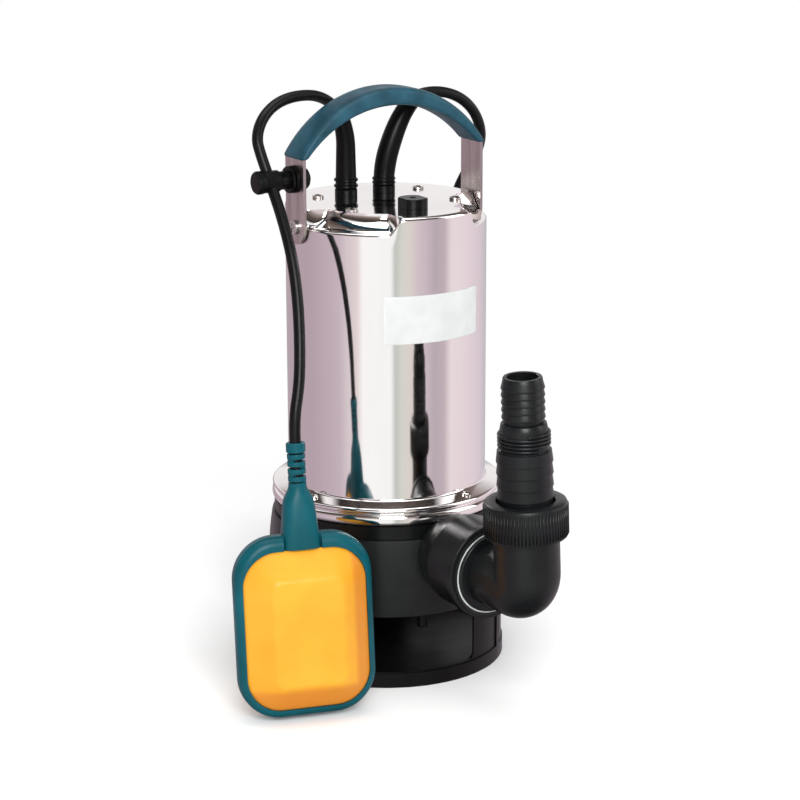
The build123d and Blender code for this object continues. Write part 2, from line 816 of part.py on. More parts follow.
def make_filler_plug():
    seat = Plane(origin=(filler_x, 0, can_top))
    with BuildPart() as filler_plug:
        with BuildSketch(seat.offset(seat_gap / 2)):
            Circle(filler_flats / 2 + 0.6)
            Rectangle(filler_flats + 2, filler_flats - 2, mode=Mode.INTERSECT)
        extrude(amount=filler_height)
        fillet(filler_plug.faces().sort_by(Axis.Z)[-1].edges(), 0.8)
        with BuildSketch(seat.offset(filler_height + seat_gap / 2)):
            Circle(2.2)
        extrude(amount=-1.2, mode=Mode.SUBTRACT)
        with BuildSketch(seat.offset(seat_gap / 2)):
            Circle(filler_flats / 2 - 2.5)
        extrude(amount=-7)
    return filler_plug


def make_gland(side):
    seat = Plane(origin=(gland_x, side * gland_y, can_top))
    with BuildPart() as gland:
        with BuildSketch(seat.offset(seat_gap / 2)):
            Circle(gland_r)
        extrude(amount=gland_height - seat_gap / 2)
        fillet(gland.faces().sort_by(Axis.Z)[-1].edges(), 1)
        with BuildSketch(seat.offset(seat_gap / 2)):
            Circle(gland_thread_r)
        extrude(amount=-8)
        with BuildSketch(seat.offset(-8)):
            RegularPolygon(gland_r, 6)
        extrude(amount=4)
    return gland


def along(route, share=1.0):
    # the route's points, its last run cut to a share of its length
    last = Vector(*route[-2]) + (Vector(*route[-1]) - Vector(*route[-2])) * share
    return [Vector(*point) for point in route[:-1]] + [last]


def bend_radii(points):
    # every arc as large as its two runs allow
    radii = []
    for before, corner, after in zip(points, points[1:], points[2:]):
        run_in = corner - before
        run_out = after - corner
        turn = radians(run_in.get_angle(run_out))
        radii.append(0.45 * min(run_in.length, run_out.length) / tan(turn / 2))
    return radii


def make_tube(points, radius, label):
    radii = bend_radii(points)
    start = Plane(origin=points[0], z_dir=points[1] - points[0])
    with BuildPart() as tube:
        with BuildLine() as path:
            FilletPolyline(*points, radius=radii)
        with BuildSketch(start):
            Circle(radius)
        sweep()
    length = sum(edge.length for edge in path.edges())
    share = tube.part.volume / (pi * radius ** 2 * length)
    print(label, "length", round(length, 1), "volume share", round(share, 4), "radii", [round(r) for r in radii])
    return tube


def make_boot(points):
    with BuildPart() as boot:
        with BuildLine():
            FilletPolyline(*points, radius=bend_radii(points))
        with BuildSketch(Plane(origin=points[0], z_dir=points[1] - points[0])):
            Circle(boot_r)
        sweep()
        # rolled mouth where the cable leaves
        heading = (points[-1] - points[-2]).normalized()
        with BuildSketch(Plane(origin=points[-1] - heading * boot_mouth, z_dir=heading)):
            Circle(boot_mouth_r)
        extrude(amount=boot_mouth)
    return boot


def make_handle_strip():
    leg_y = can_r + fit_gap + strip_thickness / 2
    bend = (leg_y, strip_bend_height)
    crown = (0, strip_bend_height + strip_arch_rise)
    with BuildPart() as handle_strip:
        with BuildSketch(Plane.YZ.offset(-strip_width / 2)):
            with BuildLine() as strip_line:
                Line((-leg_y, strip_foot), (-bend[0], bend[1]))
                ThreePointArc((-bend[0], bend[1]), crown, bend)
                Line(bend, (leg_y, strip_foot))
            trace(line_width=strip_thickness)
        extrude(amount=strip_width)
        # rounded feet, screw holes and the hole for the clip's spigot
        with BuildSketch(Plane.XZ.offset(-2 * leg_y)):
            with Locations((0, strip_foot + strip_width / 4 - 1)):
                Rectangle(strip_width + 2, strip_width / 2 + 2)
            with Locations((0, strip_foot + strip_width / 2)):
                Circle(strip_width / 2, mode=Mode.SUBTRACT)
        extrude(amount=4 * leg_y, mode=Mode.SUBTRACT)
        with BuildSketch(Plane.XZ.offset(-2 * leg_y)):
            with Locations((0, handle_screw_height)):
                Circle(handle_screw_r + seat_gap)
        extrude(amount=4 * leg_y, mode=Mode.SUBTRACT)
        with BuildSketch(Plane.XZ):
            with Locations((0, clip_z)):
                Circle(clip_spigot_r + running_gap)
        extrude(amount=2 * leg_y, mode=Mode.SUBTRACT)
    return handle_strip


def make_handle_grip():
    crown = strip_bend_height + strip_arch_rise
    end = grip_end_height
    leg_y = can_r + fit_gap + strip_thickness / 2
    with BuildPart() as handle_grip:
        with BuildSketch(Plane.YZ.offset(-grip_width / 2)):
            with BuildLine():
                outer, inner = grip_end_outer_y, grip_end_inner_y
                ThreePointArc((-outer, end), (0, crown + grip_above_strip), (outer, end))
                Line((outer, end), (inner, end))
                ThreePointArc((inner, end), (0, crown - grip_below_strip), (-inner, end))
                Line((-inner, end), (-outer, end))
            make_face()
        extrude(amount=grip_width)
        fillet(handle_grip.edges().filter_by(GeomType.CIRCLE), grip_edge)
        # channel for the steel strip
        with BuildSketch(Plane.YZ.offset(-strip_width / 2 - seat_gap)):
            with BuildLine():
                Line((-leg_y, end - 2), (-leg_y, strip_bend_height))
                ThreePointArc((-leg_y, strip_bend_height), (0, crown), (leg_y, strip_bend_height))
                Line((leg_y, strip_bend_height), (leg_y, end - 2))
            trace(line_width=strip_thickness + 2 * seat_gap)
        extrude(amount=strip_width + 2 * seat_gap, mode=Mode.SUBTRACT)
    return handle_grip


def make_handle_screws():
    face = can_r + fit_gap + strip_thickness
    with BuildPart() as handle_screws:
        for side in (-1, 1):
            seat = Plane(origin=(0, side * (face + seat_gap / 2), handle_screw_height), x_dir=(1, 0, 0),
                         z_dir=(0, side, 0))
            with BuildSketch(seat):
                Circle(handle_screw_head_r)
            extrude(amount=handle_screw_head, taper=15)
            with BuildSketch(seat):
                Circle(handle_screw_r)
            extrude(amount=-strip_thickness - fit_gap - 8)
    return handle_screws


def make_clip_eye():
    # cap, drum that holds the cable, neck with two discs, and the spigot through the strip
    strip_face = -(can_r + fit_gap + strip_thickness)
    clip_side = Plane(origin=(0, 0, clip_z), x_dir=(0, 1, 0), z_dir=(1, 0, 0))
    spigot_end = strip_face + strip_thickness + clip_nut_length - 2
    drum_from = clip_y - clip_eye_half
    drum_to = clip_y + clip_eye_half
    disc = strip_face - seat_gap
    with BuildPart() as clip_eye:
        revolve(outline([
            (drum_from - clip_cap, 0), (drum_from - clip_cap, clip_cap_r - 1.5),
            (drum_from - clip_cap + 1.5, clip_cap_r), (drum_from, clip_cap_r), (drum_from, clip_eye_r),
            (drum_to, clip_eye_r), (drum_to, clip_neck_r),
            (disc - 2.6 * clip_flange, clip_neck_r), (disc - 2.6 * clip_flange, clip_flange_r - 0.8),
            (disc - 1.7 * clip_flange, clip_flange_r - 0.8), (disc - 1.7 * clip_flange, clip_neck_r),
            (disc - clip_flange, clip_neck_r), (disc - clip_flange, clip_flange_r), (disc, clip_flange_r),
            (disc, clip_spigot_r), (spigot_end, clip_spigot_r), (spigot_end, 0),
        ], clip_side), axis=Axis((0, 0, clip_z), (0, 1, 0)))
    return clip_eye


def make_clip_nut():
    inner_face = -(can_r + fit_gap)
    seat = Plane(origin=(0, inner_face + seat_gap, clip_z), x_dir=(1, 0, 0), z_dir=(0, 1, 0))
    with BuildPart() as clip_nut:
        with BuildSketch(seat):
            Circle(clip_nut_r)
        extrude(amount=clip_nut_length)
        fillet(clip_nut.faces().sort_by(Axis.Y)[-1].edges(), 3)
        with BuildSketch(seat):
            Circle(clip_spigot_r)
        extrude(amount=clip_nut_length - 2 - seat_gap, mode=Mode.SUBTRACT)
    return clip_nut


def elbow_form(radius, start, end):
    # one elbow-shaped solid: a straight run along the port, a tight bend and a straight arm
    bend_start = elbow_arm_x - elbow_bend_r
    with BuildPart() as form:
        with BuildSketch(Plane(origin=(start, 0, port_height), x_dir=(0, 1, 0), z_dir=(1, 0, 0))):
            Circle(radius)
        extrude(amount=bend_start - start)
        with BuildSketch(arm_plane.offset(elbow_bend_r)):
            Circle(radius)
        extrude(amount=end - elbow_bend_r)
        hinge = Vector(bend_start, 0, port_height) + arm_direction * elbow_bend_r
        cross = Vector(1, 0, 0).cross(arm_direction)
        with BuildSketch(Plane(origin=(bend_start, 0, port_height), x_dir=arm_direction, z_dir=(1, 0, 0))):
            Circle(radius)
            with Locations((elbow_bend_r + radius, 0)):
                Rectangle(2 * radius, 4 * radius, mode=Mode.SUBTRACT)
        revolve(axis=Axis(hinge, cross), revolution_arc=90)
    return form.part


def make_discharge_elbow():
    collar_face = port_flange_end - port_socket_depth + seat_gap
    with BuildPart() as discharge_elbow:
        add(elbow_form(elbow_r, collar_face, elbow_top))
        add(elbow_form(elbow_bore_r, collar_face - 1, elbow_top + 1), mode=Mode.SUBTRACT)
    return discharge_elbow


def make_elbow_collar():
    # ring on the elbow's inlet that sits in the port's socket
    with BuildPart() as elbow_collar_ring:
        with BuildSketch(Plane.YZ.offset(port_flange_end - port_socket_depth + seat_gap)):
            with Locations((0, port_height)):
                Circle(elbow_collar_r)
                Circle(elbow_r + press_gap, mode=Mode.SUBTRACT)
        extrude(amount=port_socket_depth + elbow_collar - 2)
        fillet(elbow_collar_ring.edges().filter_by(GeomType.CIRCLE).group_by(Axis.X)[-1].sort_by(
            lambda edge: edge.radius)[-1], 1.2)
    return elbow_collar_ring


def make_elbow_thread():
    # threaded ring on the elbow's arm, under the union nut
    with BuildPart() as elbow_thread:
        with BuildSketch(arm_plane.offset(elbow_thread_from)):
            Circle(elbow_thread_r)
            Circle(elbow_r + press_gap, mode=Mode.SUBTRACT)
        extrude(amount=elbow_top - elbow_thread_from)
    return elbow_thread


def make_elbow_seal():
    # flat ring between the elbow's collar and the bottom of the port's socket
    with BuildPart() as elbow_seal:
        with BuildSketch(Plane.YZ.offset(port_flange_end)):
            with Locations((0, port_height)):
                Circle(port_socket_r + 2.2)
                Circle(elbow_collar_r + seat_gap, mode=Mode.SUBTRACT)
        extrude(amount=1)
    return elbow_seal


def make_union_nut():
    bore_r = elbow_thread_r + nut_gap
    lip_r = barb32_crest_r + 0.8
    top = nut_bottom + nut_height
    with BuildPart() as union_nut:
        revolve(outline([
            (bore_r, nut_bottom), (nut_root_r - 1.5, nut_bottom), (nut_root_r, nut_bottom + 1.5),
            (nut_root_r, top - 2), (nut_root_r - 2, top), (lip_r, top), (lip_r, top - nut_lip),
            (bore_r, top - nut_lip),
        ], Plane(origin=arm_plane.origin, x_dir=(1, 0, 0), z_dir=elbow_side.z_dir)), axis=arm_axis)
        # grip ribs round the nut
        with BuildSketch(arm_plane.offset(nut_bottom + 1.5)):
            with PolarLocations(nut_root_r, nut_rib_count):
                RegularPolygon(nut_rib_depth * 1.25, 4, rotation=45)
        extrude(amount=nut_height - 3.5)
    return union_nut


def barbs(crest_r, root_r, start, end, count):
    # a row of saw-tooth barbs, wide at the lower side of each
    step = (end - start) / count
    points = []
    for i in range(count):
        low = start + i * step
        points += [(crest_r, low), (crest_r, low + 0.8), (root_r, low + step)]
    return points


def make_hose_adapter():
    collar_bottom = elbow_top + seat_gap
    collar_top = nut_bottom + nut_height - nut_lip - seat_gap
    with BuildPart() as hose_adapter:
        revolve(outline([
            (adapter_wide_bore_r, collar_bottom), (elbow_thread_r - 1, collar_bottom),
            (elbow_thread_r - 1, collar_top), (barb32_root_r, collar_top), (barb32_root_r, barb32_from),
            *barbs(barb32_crest_r, barb32_root_r, barb32_from, barb32_to, barb_count - 1),
            (barb32_root_r - 1, barb32_to), (barb32_root_r - 1, g1_from), (g1_thread_r, g1_from),
            (g1_thread_r, g1_to), (g1_thread_r - 1.2, shoulder_end - 3),
            (barb25_crest_r + 0.5, shoulder_end),
            (barb25_root_r - 0.4, shoulder_end), (barb25_root_r - 0.4, barb25_from),
            *barbs(barb25_crest_r, barb25_root_r, barb25_from, barb25_to, barb_count),
            (adapter_mouth_r, barb25_to), (adapter_mouth_r, adapter_top), (adapter_bore_r, adapter_top),
            (adapter_bore_r, shoulder_end - 6), (adapter_wide_bore_r, g1_from - 4),
        ], Plane(origin=arm_plane.origin, x_dir=(1, 0, 0), z_dir=elbow_side.z_dir)), axis=arm_axis)
    return hose_adapter


def rounded_slab(width, height, corner, plane):
    with BuildSketch(plane) as drawn:
        RectangleRounded(width, height, corner)
    return drawn.sketch


def panel_middle():
    # middle of the opening in the rim, which has its wider frame at the top
    return float_centre + float_up * (rim_foot - rim_head) / 2


def panel_size(margin):
    # width and height of the rim's opening, made smaller by a margin on every side
    return rim_width - 2 * rim_side - 2 * margin, rim_height - rim_head - rim_foot - 2 * margin


def stem_foot(width, half_depth, depth, bottom):
    # blocks in front of and behind the middle of the rim, where the stem's foot straddles it
    with BuildPart() as foot:
        for side in (-1, 1):
            near = Plane(origin=float_centre, x_dir=float_plane.x_dir, z_dir=float_plane.z_dir * side)
            with BuildSketch(near.offset(half_depth)):
                with Locations((0, side * (bottom + rim_height) / 2)):
                    Rectangle(width, rim_height - bottom)
            extrude(amount=depth)
    return foot.part


def make_float_rim():
    width, height = panel_size(0)
    opening = Plane(origin=panel_middle(), x_dir=float_plane.x_dir, z_dir=float_plane.z_dir)
    panel_top = rim_height / 2 - rim_head
    with BuildPart() as float_rim:
        extrude(rounded_slab(rim_width, rim_height, rim_corner, float_plane.offset(-rim_thickness / 2)),
                amount=rim_thickness)
        border = float_rim.edges().filter_by(
            lambda edge: edge.geom_type in (GeomType.LINE, GeomType.CIRCLE))
        along_rim = border.filter_by(lambda edge: abs((edge.tangent_at(0.5)).dot(float_plane.z_dir)) < 0.01)
        fillet(along_rim, rim_edge)
        extrude(rounded_slab(width, height, rim_corner - rim_side, opening.offset(-rim_thickness)),
                amount=2 * rim_thickness, mode=Mode.SUBTRACT)
        # room for the stem's foot
        add(stem_foot(stem_base_width + 2 * seat_gap, stem_core / 2, rim_thickness, panel_top - seat_gap),
            mode=Mode.SUBTRACT)
    return float_rim


def panel_form(side, inset):
    # one pillow-shaped half of the float's case, made smaller by an inset
    width, height = panel_size(seat_gap + inset)
    corner = rim_corner - rim_side - seat_gap - inset
    straight = rim_thickness / 2 - 1.5
    base = Plane(origin=panel_middle(), x_dir=float_plane.x_dir, z_dir=float_plane.z_dir * side)
    with BuildPart() as form:
        extrude(rounded_slab(width, height, corner, base.offset(seat_gap / 2)), amount=straight)
        extrude(rounded_slab(width, height, corner, base.offset(straight + seat_gap / 2)),
                amount=panel_rise - inset, taper=panel_slope)
        fillet(form.faces().sort_by(Axis(float_centre, base.z_dir))[-1].edges(), panel_edge - inset)
    return form.part


def switch_plane():
    # the middle of the switch, parallel to the float's face
    middle = float_centre + float_up * switch_height
    return Plane(origin=middle, x_dir=float_plane.x_dir, z_dir=float_plane.z_dir)


def make_float_shell(side):
    with BuildPart() as float_shell:
        add(panel_form(side, 0))
        add(panel_form(side, panel_wall), mode=Mode.SUBTRACT)
        if side < 0:
            # cage for the ball: a slotted tube on a web, with a floor
            with BuildSketch(stem_plane.offset(cage_bottom - 2)):
                Circle(cage_r)
                Circle(ball_r + seat_gap, mode=Mode.SUBTRACT)
                with Locations((0, -cage_r)):
                    Rectangle(cage_slot, 2 * cage_r, mode=Mode.SUBTRACT)
                with Locations((0, (cage_r + cage_web) / 2)):
                    Rectangle(2, cage_web - cage_r + 1)
            extrude(amount=cage_length)
            with BuildSketch(stem_plane.offset(cage_bottom - 2)):
                Circle(cage_r)
            extrude(amount=2 - seat_gap)
            # pedestal under the switch
            with BuildSketch(switch_plane().offset(-cage_web)):
                Rectangle(switch_size[0] / 2, switch_size[1] / 4)
            extrude(amount=cage_web - switch_size[2] / 2 - seat_gap / 2)
    return float_shell


def make_float_ball():
    rest = float_centre + float_up * (cage_bottom + ball_r)
    with BuildPart(Plane(origin=rest)) as float_ball:
        Sphere(ball_r)
    return float_ball


def make_float_switch():
    with BuildPart() as float_switch:
        with BuildSketch(switch_plane().offset(-switch_size[2] / 2)):
            RectangleRounded(switch_size[0], switch_size[1], 1.5)
        extrude(amount=switch_size[2])
    return float_switch


def make_float_stem():
    foot = rim_height / 2 - rim_head
    slot_top = rim_height / 2 + seat_gap
    rib_pitch = (stem_top - stem_collar - stem_shoulder) / stem_rib_count
    with BuildPart() as float_stem:
        with BuildSketch(stem_plane.offset(foot)):
            RectangleRounded(stem_base_width, stem_base_depth, 5)
        with BuildSketch(stem_plane.offset(stem_waist)):
            RectangleRounded(stem_base_width - 2, stem_base_depth - 4, 5)
        loft(ruled=True)
        with BuildSketch(stem_plane.offset(stem_waist)):
            RectangleRounded(stem_base_width - 2, stem_base_depth - 4, 5)
        with BuildSketch(stem_plane.offset(stem_shoulder)):
            RectangleRounded(2 * stem_neck_r, 2 * stem_neck_r, stem_neck_r - 0.1)
        loft(ruled=True)
        with BuildSketch(stem_plane.offset(stem_shoulder - 0.5)):
            Circle(stem_neck_r - 1)
        extrude(amount=stem_top - stem_shoulder + 0.5 - seat_gap)
        # bend relief: a collar at the tip and rings with slots between them
        for i in range(stem_rib_count):
            with BuildSketch(stem_plane.offset(stem_shoulder + 1.4 + i * rib_pitch)):
                Circle(stem_neck_r)
            extrude(amount=rib_pitch - 2)
        with BuildSketch(stem_plane.offset(stem_top - stem_collar)):
            Circle(stem_rib_r)
        extrude(amount=stem_collar - seat_gap)
        # slot through which the middle of the rim runs
        with BuildSketch(stem_plane.offset(foot - 1)):
            Rectangle(2 * stem_base_width, stem_core + seat_gap)
        extrude(amount=slot_top - foot + 1, mode=Mode.SUBTRACT)
    return float_stem


def make_cable_coil():
    with BuildPart() as cable_coil:
        with BuildSketch(Plane(origin=(coil_x, coil_y, 0), x_dir=(1, 0, 0), z_dir=(0, -1, 0))):
            with Locations((coil_r, coil_height / 2)):
                RectangleRounded(coil_width, coil_height, coil_edge)
        revolve(axis=Axis((coil_x, coil_y, 0), (0, 0, 1)))
    return cable_coil


def plug_frame():
    tail = along(plug_route)
    return Plane(origin=tail[-1], x_dir=(0, 0, 1), z_dir=tail[-1] - tail[-2])


def make_plug_body():
    frame = plug_frame()
    side = Plane(origin=frame.origin, x_dir=frame.x_dir, z_dir=frame.x_dir.cross(frame.z_dir))
    with BuildPart() as plug_body:
        revolve(outline([
            (0, 0), (5.2, 0), (6.5, plug_boot), (10, plug_boot + 4), (14.5, plug_boot + 9),
            (14.5, plug_boot + plug_grip), (plug_body_r, plug_boot + plug_grip + 2),
            (plug_body_r, plug_boot + plug_grip + plug_head), (0, plug_boot + plug_grip + plug_head),
        ], side), axis=Axis(frame.origin, frame.z_dir))
        # side recesses for the earth springs
        with BuildSketch(frame.offset(plug_boot + plug_grip + 1)):
            with Locations((0, plug_body_r), (0, -plug_body_r)):
                Rectangle(9, 6)
        extrude(amount=plug_head, mode=Mode.SUBTRACT)
    return plug_body


def make_plug_pins():
    frame = plug_frame()
    with BuildPart() as plug_pins:
        with BuildSketch(frame.offset(plug_boot + plug_grip + plug_head)):
            with Locations((plug_pin_pitch / 2, 0), (-plug_pin_pitch / 2, 0)):
                Circle(plug_pin_r)
        extrude(amount=plug_pin_length)
        fillet(plug_pins.faces().sort_by(Axis.Y)[-1].edges(), 1)
    return plug_pins


os.makedirs("parts", exist_ok=True)

float_boot_points = along(float_loop_route[:3], float_boot_share)
power_boot_points = along(mains_route[:5], power_boot_share)
pieces = {
    "strainer_base": make_strainer_base(),
    "base_screws": make_base_screws(),
    "suction_cover": make_suction_cover(),
    "wear_ring": make_wear_ring(),
    "guard_posts": make_guard_posts(),
    "volute_housing": make_volute_housing(),
    "discharge_neck": make_discharge_neck(),
    "port_ring": make_port_ring(),
    "seal_housing": make_seal_housing(),
    "housing_seal": make_housing_seal(),
    "impeller": make_impeller(),
    "impeller_nut": make_impeller_nut(),
    "shaft": make_shaft(),
    "seal_seat": make_seal_seat(),
    "seal_ring": make_seal_ring(),
    "bearing_bracket": make_bearing_bracket(),
    "lower_bearing": make_bearing(lower_bearing_height),
    "upper_bearing": make_bearing(upper_bearing_height),
    "rotor_core": make_rotor_core(),
    "stator_core": make_stator_core(),
    "stator_windings": make_stator_windings(),
    "upper_bracket": make_upper_bracket(),
    "capacitor": make_capacitor(),
    "motor_can": make_motor_can(),
    "flange_screws": make_flange_screws(),
    "lid_screws": make_lid_screws(),
    "filler_plug": make_filler_plug(),
    "float_gland": make_gland(-1),
    "power_gland": make_gland(1),
    "float_boot": make_boot(float_boot_points),
    "power_boot": make_boot(power_boot_points),
    "handle_strip": make_handle_strip(),
    "handle_grip": make_handle_grip(),
    "handle_screws": make_handle_screws(),
    "clip_eye": make_clip_eye(),
    "clip_nut": make_clip_nut(),
    "discharge_elbow": make_discharge_elbow(),
    "elbow_collar": make_elbow_collar(),
    "elbow_thread": make_elbow_thread(),
    "elbow_seal": make_elbow_seal(),
    "union_nut": make_union_nut(),
    "hose_adapter": make_hose_adapter(),
    "float_rim": make_float_rim(),
    "float_shell_front": make_float_shell(1),
    "float_shell_rear": make_float_shell(-1),
    "float_stem": make_float_stem(),
    "float_switch": make_float_switch(),
    "float_ball": make_float_ball(),
    "float_cable_upper": make_tube(
        [float_boot_points[-1]] + [Vector(*p) for p in float_loop_route[2:]], cable_r, "float_cable_upper"),
    "float_cable_lower": make_tube([Vector(*p) for p in float_cable_route], cable_r, "float_cable_lower"),
    "power_cable": make_tube(
        [power_boot_points[-1]] + [Vector(*p) for p in mains_route[4:]], cable_r, "power_cable"),
    "plug_cable": make_tube([Vector(*p) for p in plug_route], cable_r, "plug_cable"),
    "cable_coil": make_cable_coil(),
    "plug_body": make_plug_body(),
    "plug_pins": make_plug_pins(),
}
for label, piece in pieces.items():
    save(piece, label)
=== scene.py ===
import bpy
import bmesh
import json
import math
from mathutils import Matrix, Vector


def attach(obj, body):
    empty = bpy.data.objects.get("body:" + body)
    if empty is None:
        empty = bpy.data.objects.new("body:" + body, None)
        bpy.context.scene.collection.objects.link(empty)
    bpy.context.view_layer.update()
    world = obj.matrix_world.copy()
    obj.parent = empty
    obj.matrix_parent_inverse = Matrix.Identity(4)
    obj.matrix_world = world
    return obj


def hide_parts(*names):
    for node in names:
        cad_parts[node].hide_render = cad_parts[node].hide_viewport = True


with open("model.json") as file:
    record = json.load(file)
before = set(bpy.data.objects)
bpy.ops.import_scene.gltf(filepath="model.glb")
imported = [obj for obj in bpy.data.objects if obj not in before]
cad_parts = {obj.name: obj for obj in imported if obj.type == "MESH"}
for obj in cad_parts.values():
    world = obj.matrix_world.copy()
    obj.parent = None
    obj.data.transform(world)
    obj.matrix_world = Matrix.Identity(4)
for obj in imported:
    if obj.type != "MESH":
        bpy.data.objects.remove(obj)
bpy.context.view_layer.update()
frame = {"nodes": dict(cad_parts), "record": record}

nodes = frame["nodes"]


def report(text):
    print("scene:", text)


# Camera: a long lens, a little above the lid
view = {"place": (1.3536, -0.8295, 0.6048), "turn": (1.3076, 0.0019, 1.0129), "lens": 111.6, "sensor": 36,
        "shift": (-0.0059, -0.0071), "near": 0.05, "far": 30}
camera = bpy.data.objects.new("camera", bpy.data.cameras.new("camera"))
bpy.context.collection.objects.link(camera)
camera.data.lens = view["lens"]
camera.data.sensor_width = view["sensor"]
camera.data.shift_x, camera.data.shift_y = view["shift"]
camera.location = view["place"]
camera.rotation_euler = view["turn"]
camera.data.clip_start, camera.data.clip_end = view["near"], view["far"]
bpy.context.scene.camera = camera
bpy.context.scene.view_settings.view_transform = "Standard"
report("camera")


def linear(hexColour):
    # an sRGB colour such as "#0a64ff" as linear red, green, blue and an alpha of 1
    channels = [int(hexColour[i:i + 2], 16) / 255 for i in (1, 3, 5)]
    return [c / 12.92 if c <= 0.04045 else ((c + 0.055) / 1.055) ** 2.4 for c in channels] + [1]


def addNode(tree, kind, inputs=None, **settings):
    node = tree.nodes.new(kind)
    for key, value in settings.items():
        setattr(node, key, value)
    for key, value in (inputs or {}).items():
        if isinstance(value, bpy.types.NodeSocket):
            tree.links.new(value, node.inputs[key])
        else:
            node.inputs[key].default_value = value
    return node


